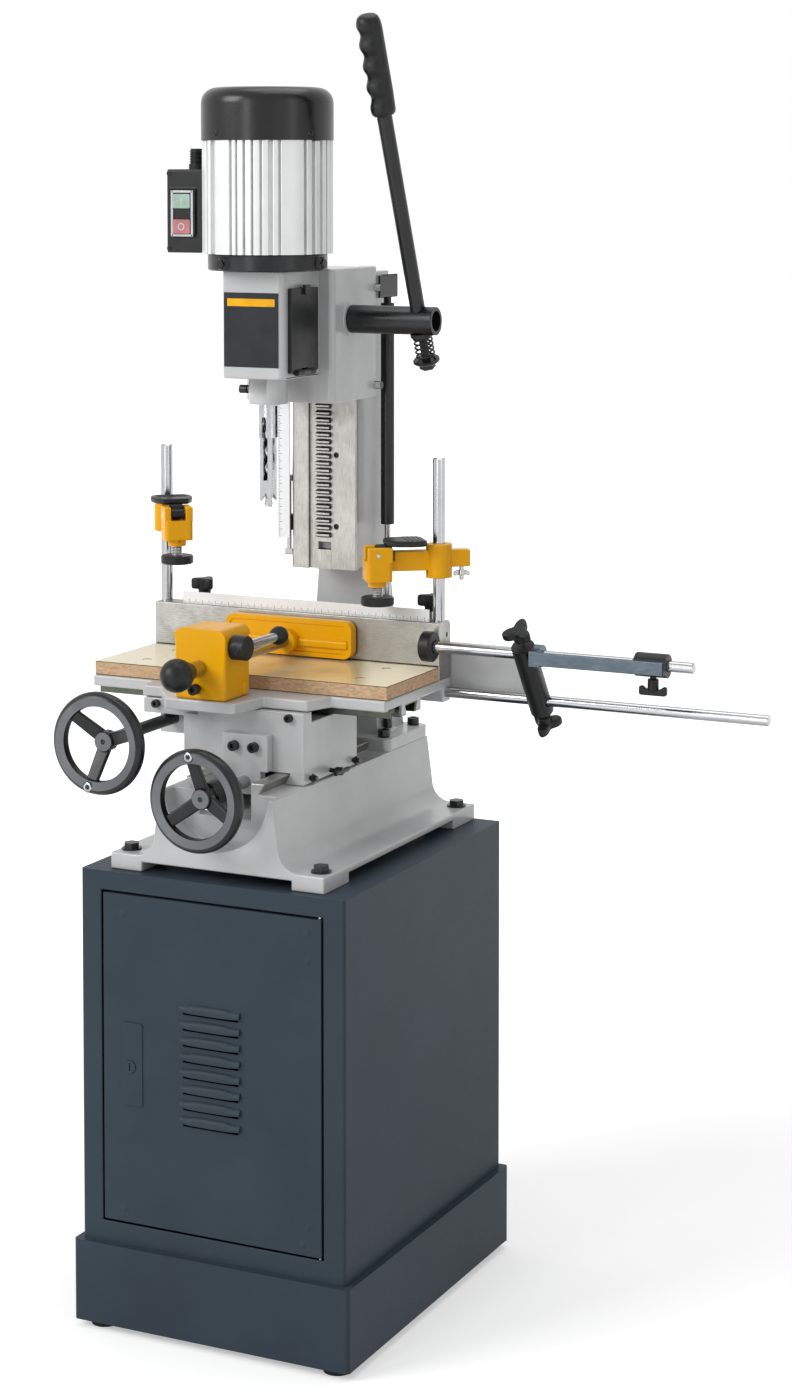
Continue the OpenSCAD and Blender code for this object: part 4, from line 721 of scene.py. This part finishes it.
class Motor(bpy.types.Operator):
    """Finishes the ribbed motor, its fan cover, the switch box and its two buttons"""
    bl_idname = "mortiser.motor"
    bl_label = "Motor and switch"

    def execute(self, context):
        middle = placed((0, SPINDLE_Y, 0))
        body = Piece("motor_ribbed_body", "aluminium", "blackened")
        body.add(turned([(45, MOTOR_Z), (76, MOTOR_Z), (76, FAN_Z), (45, FAN_Z), (45, MOTOR_Z)],
                        96), middle)
        tall = mm("rib_height")
        # Ribs by their two edges in degrees, with the flat pads between them
        ribs = [(-84, -69), (-66, -60.5), (-52.6, -35.3), (-33, -29), (-27.4, -21.8),
                (-20, -14.2), (-12.6, -6.6), (-4.8, 1), (4.6, 9.6), (11.6, 33.8),
                (36.4, 42.4), (46.6, 53.4), (57, 63), (66, 72), (75, 81)]
        ribs += [(84 + 9 * step, 90 + 9 * step) for step in range(6)]
        ribs += [(139, 157)] + [(161 + 9 * step, 167 + 9 * step) for step in range(5)]
        ribs += [(206, 226)] + [(230 + 9 * step, 236 + 9 * step) for step in range(5)]
        for left, right in ribs:
            wide = math.radians(right - left)
            count = max(1, round((right - left) / 6))
            shape = bmesh.new()
            spin = shape.verts.new((75, 0, 0)), shape.verts.new((76.5 + tall, 0, 0))
            line = [shape.edges.new(spin)]
            bmesh.ops.spin(shape, geom=list(spin) + line, cent=(0, 0, 0), axis=(0, 0, 1),
                           angle=wide, steps=count)
            grown = bmesh.ops.extrude_face_region(shape, geom=shape.faces[:])
            raised(shape, grown, FAN_Z - MOTOR_Z)
            body.add(eased(closed(shape), 1.6, 3, 40, 60),
                     placed((0, SPINDLE_Y, MOTOR_Z), (left - 61.5, "Z")))
        flange = turned([(0, 1319), (38, 1319), (38, 1331), (73.5, 1331), (75, 1332.5),
                         (75, 1350.5), (73.5, 1352), (0, 1352)], 96)
        body.add(flange, middle, "blackened")
        for azimuth in (-108, -2, 72, 178):
            spot = placed((0, SPINDLE_Y, 0), (azimuth, "Z")) @ Matrix.Translation((72, 0, 0))
            body.add(turned([(0, 1333), (7.5, 1333), (8.5, 1334), (8.5, 1347), (7.5, 1348),
                             (0, 1348)], 32), spot, "blackened")
            body.add(hexagon(11, 5), spot @ placed((5.5, 0, 1340), (90, "Y")), "blackened")
        body.done("head", "motor_body")

        cover = Piece("fan_cover_spun", "fan paint", "blackened")
        shell = turned([(81, FAN_Z), (83, FAN_Z), (83, FAN_Z + 46), (82.2, FAN_Z + 52),
                        (79.6, FAN_Z + 57.6), (75, FAN_Z + 62.2), (69.2, FAN_Z + 65),
                        (62.5, FAN_TOP), (57, FAN_TOP), (55.5, FAN_TOP - 1.2),
                        (20, FAN_TOP - 1.2), (18.5, FAN_TOP), (0, FAN_TOP)], 96)
        cover.add(shell, middle)
        # Dark strips in two rings round the middle of the top stand for the air slots: painted
        # shade where the openings would be, not cut through
        for step in range(FAN_SLOTS):
            for near, far in ((23, 36), (40, 53)):
                cover.add(slab((near, -1.3, FAN_TOP - 1.6), (far, 1.3, FAN_TOP - 1.0), 0.2, 1),
                          placed((0, SPINDLE_Y, 0), (step * 360 / FAN_SLOTS, "Z")), "blackened")
        for azimuth in (-112, -22, 68, 158):
            spot = placed((0, SPINDLE_Y, FAN_Z + 9), (azimuth, "Z"))
            spot = spot @ placed((82.2, 0, 0), (90, "Y"))
            cover.add(turned([(0, 2.4), (1.6, 2.4), (1.8, 1.6), (2.2, 2.4), (3.4, 2.1), (4.2, 0.8),
                              (4.2, 0)], 24), spot, "blackened")
        cover.done("head", "fan_cover")

        box = redressed("switch_box", "black plastic", "white plastic", edge=2.2, least=60,
                        segments=3)
        # Lid seam, lid screws and the clear hood's frame round the buttons
        for x in (-123.5, -62.5):
            for z in (1357.5, 1451.5):
                box.add(turned([(0, 0.8), (1.4, 0.8), (1.6, 0.2), (2.8, 0.9), (3.4, 0)], 20),
                        placed((x, -110, z), (90, "X")))
        for z in (1372.5, 1427.5):
            box.add(slab((-117.5, -114.6, z), (-87.5, -113.2, z + 3), 0.5), key="white plastic")
        for x in (-118.5, -89.7):
            box.add(slab((x, -114.6, 1372.5), (x + 3.2, -113.2, 1430.5), 0.5), key="white plastic")
        for step in range(6):
            height = 1462 + step * 3.2
            box.add(turned([(8, height), (9, height + 0.6), (9, height + 1.6), (8, height + 2.2)],
                           32), placed((-102, SPINDLE_Y, 0)))
        box.done("head")
        for node, key, height in (("start_button", "green", 1417), ("stop_button", "red", 1385)):
            button = redressed(node, key, "white plastic", edge=1.2, least=20, segments=3)
            face = -116.05
            if key == "green":
                button.add(slab((-103.4, face - 0.2, height - 4), (-101.6, face + 0.4, height + 4),
                                0.1, 1), key="white plastic")
            else:
                button.add(turned([(3.2, 0.3), (3.2, -0.5), (4.8, -0.5), (4.8, 0.3), (3.2, 0.3)],
                                  32), placed((-102.5, face, height), (90, "X")), "white plastic")
            button.done(node)
        return {"FINISHED"}


class Cutter(bpy.types.Operator):
    """Finishes the spindle with its chuck and twisted bit, and the hollow chisel"""
    bl_idname = "mortiser.cutter"
    bl_label = "Spindle and chisel"

    def execute(self, context):
        middle = placed((0, SPINDLE_Y, 0))
        spindle = Piece("spindle_with_bit", "bright", "blackened", "tool")
        spindle.add(turned([(0, 1268), (12, 1268), (12, 1368), (44, 1368), (44, 1479), (12, 1479),
                            (12, 1519), (0, 1519)], 48), middle)
        spindle.add(turned([(0, 1220), (13, 1220), (20, 1228), (20, 1254), (18.6, 1255.5),
                            (18.6, 1268), (0, 1268)], 48), middle, "blackened")
        spindle.add(turned([(12, 1501), (22, 1501), (22, 1519), (12, 1519), (12, 1501)], 32),
                    middle, "blackened")
        for step in range(8):
            spindle.add(slab((20, -1.5, 1501), (64, 1.5, 1519), 0.5, 1),
                        placed((0, SPINDLE_Y, 0), (step * 45, "Z")), "blackened")
        bit = bmesh.new()
        # The auger: a flat blade drawn upwards and turned at each step
        bmesh.ops.create_circle(bit, cap_ends=False, segments=16, radius=5.3)
        bmesh.ops.scale(bit, vec=(1, 0.42, 1), verts=bit.verts)
        ring = bit.edges[:]
        for step in range(66):
            tops, ring = raised(bit, bmesh.ops.extrude_edge_only(bit, edges=ring), 2.85)
            bmesh.ops.rotate(bit, cent=(0, 0, 0), matrix=Matrix.Rotation(0.42, 3, "Z"),
                             verts=tops)
        spindle.add(closed(bit), placed((0, SPINDLE_Y, 1033)), "tool")
        for turn in (0, 180):
            # The two spurs and cutting lips at the bit's end
            spindle.add(prism([(0.4, -0.8), (5.2, -1.2), (5.4, 0.8), (0.6, 1.2)], 7, 0.2, 1),
                        placed((0, SPINDLE_Y, 1032.2), (turn, "Z")), "tool")
        spindle.done("spindle", "spindle")
        redressed("chisel", "tool", edge=0.35, least=6).done("head")
        return {"FINISHED"}


class Lever(bpy.types.Operator):
    """Finishes the feed lever: hub, bar, moulded grip, spring, washer and nut"""
    bl_idname = "mortiser.lever"
    bl_label = "Feed lever"

    def execute(self, context):
        lean = placed(PINION, (LEVER_LEAN, "X"))
        redressed("lever_shaft", "blackened", "bright", edge=0.9, least=30, paint=(
            (1, lambda c, n: c.x < 66),)).done("lever")
        lever = Piece("lever_with_grip", "blackened", "black plastic", "bright")
        lever.add(rod((0, 0, -66), (0, 0, 4), 5.5), lean)
        lever.add(rod((0, 0, 0), (0, 0, 284), 9.5, 1.2, 40), lean)
        grip = [(9.6, 278), (13, 278), (14.6, 279.6), (15.4, 283)]
        grip += [(15.4 + 0.6 * min(1, step / 10), 283 + step * 2.25) for step in range(1, 48)]
        grip += [(15.6, 393), (14.8, 398), (13, 402.5), (10, 405.2), (6, 406), (0, 406)]
        shape = turned(grip, 48)
        groove = mm("grip_groove")
        for vert in shape.verts:
            # Four finger grooves on the side that the hand closes round
            side = (vert.co.x * -0.45 + vert.co.y * -0.89) / max(0.1, math.hypot(*vert.co[:2]))
            wave = 0.5 - 0.5 * math.cos(math.tau * (vert.co.z - 286.5) / 27)
            if side > -0.3 and 286.5 < vert.co.z < 394.5:
                pull = 1 - groove * wave * (side + 0.3) / 1.3 / math.hypot(*vert.co[:2])
                vert.co.x, vert.co.y = vert.co.x * pull, vert.co.y * pull
        lever.add(shape, lean, "black plastic")
        lever.add(turned([(5.4, -57), (16, -57), (17, -56.2), (17, -53.8), (16, -53), (5.4, -53),
                          (5.4, -57)], 40), lean)
        lever.add(hexagon(19, 9, 1.0), lean @ placed((0, 0, -66)))
        lever.done("lever", "lever_rod")
        wire = bmesh.new()
        bmesh.ops.create_circle(wire, cap_ends=False, segments=12, radius=1.3,
                                matrix=placed((11.5, 0, -51.7), (90, "X")))
        # The spring is its wire's section spun round and drawn upwards, curl after curl
        bmesh.ops.spin(wire, geom=wire.verts[:] + wire.edges[:], cent=(0, 0, 0),
                       axis=(0, 0, 1), dvec=(0, 0, 30.4 / 160), angle=math.tau * 5, steps=160)
        Piece("lever_spring_wound", "blackened").add(closed(wire), lean).done(
            "lever", "lever_spring")
        return {"FINISHED"}


def handwheel(name, body, node, centre, turn):
    """A cast handwheel: a round rim, three spokes dished back to the hub and a handle bush."""
    wheel = Piece(name, "blackened", "machined", "bright")
    at = placed(centre, (90, "X"))
    # A flat band is machined on the inner half of the round rim's front
    outline = [(55 + 8.95 * math.cos(math.radians(step)), 9.8 * math.sin(math.radians(step)))
               for step in range(75, -166, -15)]
    outline += [(46.2, -1), (46.2, 6.2), (46.9, 7.4), outline[0]]
    rim = turned(outline, 96)
    painted(rim, 1, lambda c, n: c.z > 7.3 and math.hypot(c.x, c.y) < 57)
    wheel.add(rim, at)
    for step in range(3):
        spoke = slab((8, -8.6, -3.9), (48, 8.6, 3.9), 2.4, 4)
        for vert in spoke.verts:
            # The arm leans forward from the hub to the rim and narrows a little
            vert.co.z += (vert.co.x - 50) * 16.75 / 42
            vert.co.y *= 1.06 - 0.0035 * vert.co.x
        wheel.add(spoke, at @ placed((0, 0, 0), (turn + 120 * step, "Z")))
    hub = turned([(0, -9.4), (2.4, -9.4), (3.2, -8.5), (11.6, -8.5), (12.8, -9.6), (13, -12),
                  (13, -23.6), (11.6, -25), (0, -25)], 48)
    painted(hub, 1, lambda c, n: c.z > -8.7)
    wheel.add(hub, at)
    bush = at @ placed((0, 0, 0), (turn, "Z")) @ placed((55, 0, 0))
    wheel.add(turned([(0, -6), (6, -6), (7, -5), (7, 8.4), (6.4, 9), (0, 9)], 32), bush)
    wheel.add(turned([(0, 9.2), (3.3, 9.2), (3.6, 9.7), (4.6, 9.8), (5.6, 9.3), (5.8, 8), (0, 8)],
                     32), bush, "bright")
    wheel.add(turned([(0, 9.4), (2.9, 9.4), (2.9, 8.4)], 24), bush)
    wheel.done(body, node)


class Slides(bpy.types.Operator):
    """Finishes the saddle, its bearing plate and lock, the screws and both handwheels"""
    bl_idname = "mortiser.slides"
    bl_label = "Cross slides"

    def execute(self, context):
        edge = mm("casting_edge")
        redressed("saddle", "grey", "way", "blackened", edge=edge * 0.7, least=90, paint=(
            (1, lambda c, n: c.z > 770.5 and c.y > -40),
            (2, lambda c, n: c.x > 76.1 or math.hypot(c.x + 142, c.z - 776.5) < 5.3
             and c.y < -115.2 or math.hypot(c.x - 56, c.z - 776.5) < 5.3
             and c.y < -127.2))).done("saddle")
        redressed("bearing_plate", "grey", "blackened", edge=1.2, least=60, paint=(
            (1, lambda c, n: c.y < -141.2),)).done("saddle")
        lock = Piece("saddle_lock_screw", "blackened")
        lock.add(rod((65, -55, 699), (84, -55, 699), 2.9, 0.3, 24))
        lock.add(turned([(0, 0), (4.6, 0), (5.2, 0.6), (5.2, 9), (4.4, 10), (0, 10)], 32),
                 placed((84, -55, 699), (90, "Y")))
        lock.add(rod((92, -73, 699), (92, -37, 699), 3, 1.0, 24))
        lock.done("saddle_lock", "saddle_lock")
        redressed("cross_screw", "bright", "blackened", edge=0.6, least=30, paint=(
            (1, lambda c, n: -237 < c.y < -207.5 and math.hypot(c.x, c.z - 694) > 8.5),)).done(
                "front_wheel")
        redressed("table_pinion", "blackened", "bright", edge=0.4, least=30, paint=(
            (1, lambda c, n: math.hypot(c.x + 131, c.z - 755) > 8.6),)).done("side_wheel")
        handwheel("front_wheel_cast", "front_wheel", "front_handwheel", FRONT_WHEEL, 97)
        handwheel("side_wheel_cast", "side_wheel", "side_handwheel", SIDE_WHEEL, -102)
        return {"FINISHED"}


class Table(bpy.types.Operator):
    """Finishes the table casting, the laminated board, the rack and the screws"""
    bl_idname = "mortiser.table"
    bl_label = "Table"

    def execute(self, context):
        edge = mm("casting_edge")
        casting = redressed("table_casting", "grey", "rail", edge=edge, least=90, segments=3,
                            paint=((1, lambda c, n: c.z < 784.9 and -37 < c.y < 25),))
        # The planed strip that covers the rack's front
        casting.add(slab((-258, -65, 773.4), (165, -62.7, 785.3), 0.5), key="rail")
        casting.done("table")
        redressed("table_board", "board", "chips", edge=0.5, least=400, paint=(
            (1, lambda c, n: abs(n.z) < 0.6),)).done("table")
        dressed("table_rack", "blackened")
        redressed("table_screws", "blackened", edge=0.3, least=8).done("table")
        plugs = Piece("board_plugs", "board")
        for x in (-202.5, 109.5):
            for y in (-38, 38):
                plugs.add(turned([(0, 815.7), (5.0, 815.7), (5.6, 815.4), (5.9, 813)], 32),
                          placed((x, y, 0)))
        plugs.done("table")
        return {"FINISHED"}


def knob(name, body, at, screw, neck, head):
    """A moulded knob with three lobes: screw is its rod, neck an outline, head the lobes."""
    foot, end, radius = screw
    *form, height = head
    piece = Piece(name, "black plastic", "bright")
    piece.add(rod((0, 0, foot), (0, 0, end), radius, 0.4, 24), at, "bright")
    piece.add(turned(neck, 40), at)
    piece.add(lobed(*form), at @ placed((0, 0, height)))
    piece.done(body, body)


class Fence(bpy.types.Operator):
    """Finishes the fence with its rule, knobs and the two hold-down posts"""
    bl_idname = "mortiser.fence"
    bl_label = "Fence"

    def execute(self, context):
        redressed("fence", "iron", "grey", edge=1.4, least=60, segments=3, paint=(
            (1, lambda c, n: c.y > 112.8),)).done("table")
        redressed("fence_scale", "fence rule", edge=0.25, least=10).done("table")
        for side, x in (("left", -205), ("right", 135)):
            knob("fence_knob_%s_moulded" % side, "fence_knob_" + side, placed((x, 118, 0)),
                 (845, 884, 3), [(0, 881), (7.2, 881), (8.2, 882), (9.8, 896), (0, 896)],
                 (18, 0.52, 15, 4.4, 888))
        posts = Piece("hold_down_posts_ground", "bright")
        for x, y in POSTS:
            posts.add(rod((x, y, 823), (x, y, 1085), 8, 1.2, 48))
        posts.done("table", "hold_down_posts")
        return {"FINISHED"}


class Clamp(bpy.types.Operator):
    """Finishes the work clamp: block, plunger with its ball, press plate and cam lever"""
    bl_idname = "mortiser.clamp"
    bl_label = "Work clamp"

    def execute(self, context):
        block = redressed("clamp_block", "yellow", edge=4.5, least=150, segments=5)
        block.add(rod((-12.6, -124, 800), (-12.6, -124, 818), 5.4, 2.4))
        block.done("table")
        plunger = Piece("plunger_with_ball", "bright", "black plastic")
        x, y, z = PLUNGER
        plunger.add(rod((x, y + 16, z), (x, 66.2, z), 8, 0.8, 40))
        # A pear-shaped knob: its ball runs out into the neck that the rod is screwed into
        ball = [(21 * math.sin(step * 0.16), -21 * math.cos(step * 0.16)) for step in range(12)]
        ball += [(19, 9.6), (17.2, 14.2), (15.2, 18.6), (13.4, 23), (12, 28), (11.2, 30), (0, 30)]
        plunger.add(turned(ball, 64), placed((x, y, z), (-90, "X")), "black plastic")
        plunger.add(turned([(0, 30.2), (9.7, 30.2), (10.4, 31), (10.4, 54.4), (9.7, 55.3),
                            (0, 55.3)], 40), placed((x, y, z), (-90, "X")))
        plunger.done("plunger", "plunger_rod")
        press = redressed("press_plate", "yellow", edge=1.6, least=50, segments=3)
        # The shallow field of the plate and its broad rib, on both sides of the rod's boss
        press.add(slab((-134, 61.6, 824.6), (41, 69, 861.6), 1.2, 3))
        for low, high in (((-135, 57.9, 831), (-60, 69, 842)), ((-33, 57.9, 831), (42, 69, 842))):
            press.add(slab(low, high, 3.2, 5))
        press.done("plunger")
        cam = Piece("cam_lever_with_ball", "black plastic", "bright", "blackened")
        x, y, z = CAM
        hub = turned([(0, 0), (14.2, 0), (15.5, 1.2), (15.5, 19.6), (14.2, 21), (0, 21)], 56)
        cam.add(hub, placed(CAM, (90, "Y")))
        cam.add(rod((x - 56, y, z), (x + 1, y, z), 6, 0.6), key="blackened")
        cam.add(turned([(0, 0.6), (4.1, 0.6), (4.2, 0.9), (5.2, 0.7), (5.8, -0.6)], 32),
                placed((x + 10, y - 15.2, z), (90, "X")), "blackened")
        cam.add(rod((x + 10, y + 13, z), (x + 10, y + 90, z), 6, 0.6, 40), key="bright")
        ball = turned([(0, -12.5), (4.6, -11.6), (8.6, -9), (11.4, -5.2), (12.5, 0),
                       (11.6, 4.8), (9.4, 8.2), (6.4, 10.9), (0, 12.4)], 48)
        cam.add(ball, placed((x + 10, y + 100, z), (90, "X")))
        cam.done("cam_lever", "cam_lever")
        return {"FINISHED"}


class HoldDowns(bpy.types.Operator):
    """Finishes both hold-downs: arm, cam handle, pad and wing screw"""
    bl_idname = "mortiser.hold_downs"
    bl_label = "Hold-downs"

    def execute(self, context):
        for side, spot in (("right", placed((157, 95, 920), (217, "Z"))),
                           ("left", placed((-250, 95, 958), (-50, "Z")))):
            redressed("hold_arm_" + side, "yellow", edge=1.6, least=50, segments=3).done(
                "hold_arm_" + side)
            handle = Piece("cam_handle_%s_cast" % side, "black plastic", "bright")
            handle.add(rod((83, 19, 42), (83, -19, 42), 3, 0.4, 24), spot, "bright")
            handle.add(rod((83, 9, 42), (83, -9, 42), 7, 0.8, 32), spot)
            handle.add(slab((63, -9, 42), (83, 9, 54), 2, 3), spot)
            handle.add(prism([(71, -17), (71, 17), (58, 24), (38, 28), (24, 26), (19, 18),
                              (19, -18), (24, -26), (38, -28), (58, -24)], 8, 2.6, 4),
                       spot @ placed((0, 0, 53)))
            for step in range(4):
                handle.add(slab((25 + step * 6, -20, 60.6), (27.4 + step * 6, 20, 61.6), 0.4),
                           spot)
            handle.done("cam_handle_" + side, "cam_handle_" + side)
            pad = Piece("hold_pad_%s_turned" % side, "black plastic", "bright")
            pad.add(turned([(0, -24), (19.8, -24), (21.5, -22.6), (21.5, -14.6), (20, -13),
                            (9, -13), (0, -12.6)], 56), spot @ placed((PAD_X, 0, 0)))
            stem = [(7.0, -13.2)]
            for step in range(6):
                stem += [(7.0, -12.4 + step * 2), (6.3, -11.6 + step * 2), (6.3, -11.2 + step * 2)]
            stem += [(7.0, 0), (7.0, 32), (6, 32.4), (0, 32.4)]
            pad.add(turned([(0, -13.2)] + stem, 40), spot @ placed((PAD_X, 0, 0)), "bright")
            pad.done("hold_pad_" + side, "hold_pad_" + side)
            wing = Piece("wing_screw_%s_cast" % side, "bright")
            wing.add(rod((WING_X, 0, 6), (WING_X, 0, 36), 3, 0.5, 24), spot)
            wing.add(turned([(0, 12), (4.4, 12), (5, 12.6), (4.6, 19), (0, 19)], 32),
                     spot @ placed((WING_X, 0, 0)))
            for turn in (0, 180):
                wing.add(prism([(2, 13), (9, 11), (11, 12), (10.6, 17), (6, 18.6), (2, 18.4)],
                               2.6, 0.8, 3), spot @ placed((WING_X, 0, 0), (turn, "Z"),
                                                           (90, "X")) @ placed((0, 0, -1.3)))
            wing.done("wing_screw_" + side, "wing_screw_" + side)
        return {"FINISHED"}


class Stop(bpy.types.Operator):
    """Finishes the length stop: lower bar, cross clamp, arm, upper rod and their screws"""
    bl_idname = "mortiser.stop"
    bl_label = "Length stop"

    def execute(self, context):
        redressed("stop_bar", "grey", "bright", "blackened", edge=0.9, least=60, paint=(
            (2, lambda c, n: c.y > 122.6),
            (1, lambda c, n: math.hypot(c.y - STOP_BAR.y, c.z - STOP_BAR.z) < 7.4))).done("table")
        lean = math.degrees(math.atan2(STOP_BAR.y - STOP_ROD.y, STOP_ROD.z - STOP_BAR.z))
        spot = placed((STOP_X, STOP_BAR.y, STOP_BAR.z), (lean, "X"))
        shape, back = copy_of("stop_post"), spot.inverted()
        for vert in shape.verts:
            # The tube's outside, with the openings in it, stands out to its full thickness
            near = back @ vert.co
            if abs(math.hypot(near.x, near.y) - TUBE_RADIUS) < 0.15 and vert.co.x < 308.8:
                near.x, near.y = near.x * TUBE_SCALE, near.y * TUBE_SCALE
                vert.co = spot @ near
        eased(shape, 1.1, 2, least=40, clamp=False)
        painted(shape, 1, lambda c, n: 312 < c.x < 446.2)
        post = Piece("stop_post_finished", "black plastic", "arm").add(shape)
        post.done("stop_post", "stop_post")
        for node, at in (("post_knob_top", spot @ placed((0, 0, 94))),
                         ("post_knob_low", spot @ placed((0, 0, -18), (180, "X")))):
            knob(node + "_moulded", node, at, (-4, 14, 4),
                 [(0, 10), (7.6, 10), (8.6, 11), (9.4, 20), (0, 20)], (21, 0.56, 12, 3.8, 18))
        stop = Piece("stop_rod_ground", "bright", "black plastic")
        y, z = STOP_ROD.y, STOP_ROD.z
        stop.add(rod((161.5, y, z), (521.5, y, z), 7, 1.2, 48))
        stop.add(turned([(0, 0), (17.4, 0), (19.5, 1.8), (19.5, 14.2), (17.6, 16), (8.6, 16),
                         (8.2, 15), (0, 15)], 64), placed((153.5, y, z), (90, "Y")),
                 "black plastic")
        stop.done("stop_rod", "stop_rod")
        screw = Piece("sleeve_screw_moulded", "black plastic")
        screw.add(rod((SCREW_X, y, z - 32), (SCREW_X, y, z - 9), 4, 0.4, 24))
        screw.add(turned([(0, z - 32), (6, z - 32), (7, z - 31), (7, z - 18), (6, z - 17),
                          (0, z - 17)], 32), placed((SCREW_X, y, 0)))
        screw.add(prism([(-18, 1), (-15, 0), (15, 0), (18, 1), (18, 11), (14, 12), (9, 8), (-9, 8),
                         (-14, 12), (-18, 11)], 8, 1.8, 3),
                  placed((SCREW_X, y + 4, z - 38), (90, "X")))
        screw.done("sleeve_screw", "sleeve_screw")
        return {"FINISHED"}


PIECES = (Stage, Cabinet, Castings, Head, Motor, Cutter, Lever, Slides, Table, Fence, Clamp,
          HoldDowns, Stop)


class MORTISER_PT_pieces(bpy.types.Panel):
    """Lists the pieces of the mortiser with its sizes and colours"""
    bl_label = "Mortiser"
    bl_space_type = "VIEW_3D"
    bl_region_type = "UI"
    bl_category = "Mortiser"

    def draw(self, context):
        for group in (context.scene.mortiser_sizes, context.scene.mortiser_colours):
            for key in group.__annotations__:
                self.layout.prop(group, key)
        for piece in PIECES:
            self.layout.operator(piece.bl_idname)


CLASSES = (MortiserColours, MortiserSizes) + PIECES + (MORTISER_PT_pieces,)


def register():
    for item in CLASSES:
        bpy.utils.register_class(item)
    bpy.types.Scene.mortiser_colours = bpy.props.PointerProperty(type=MortiserColours)
    bpy.types.Scene.mortiser_sizes = bpy.props.PointerProperty(type=MortiserSizes)


def unregister():
    del bpy.types.Scene.mortiser_sizes
    del bpy.types.Scene.mortiser_colours
    for item in reversed(CLASSES):
        bpy.utils.unregister_class(item)


def main():
    register()
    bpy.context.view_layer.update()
    for piece in PIECES:
        group, name = piece.bl_idname.split(".")
        getattr(getattr(bpy.ops, group), name)()


if __name__ == "__main__":
    main()
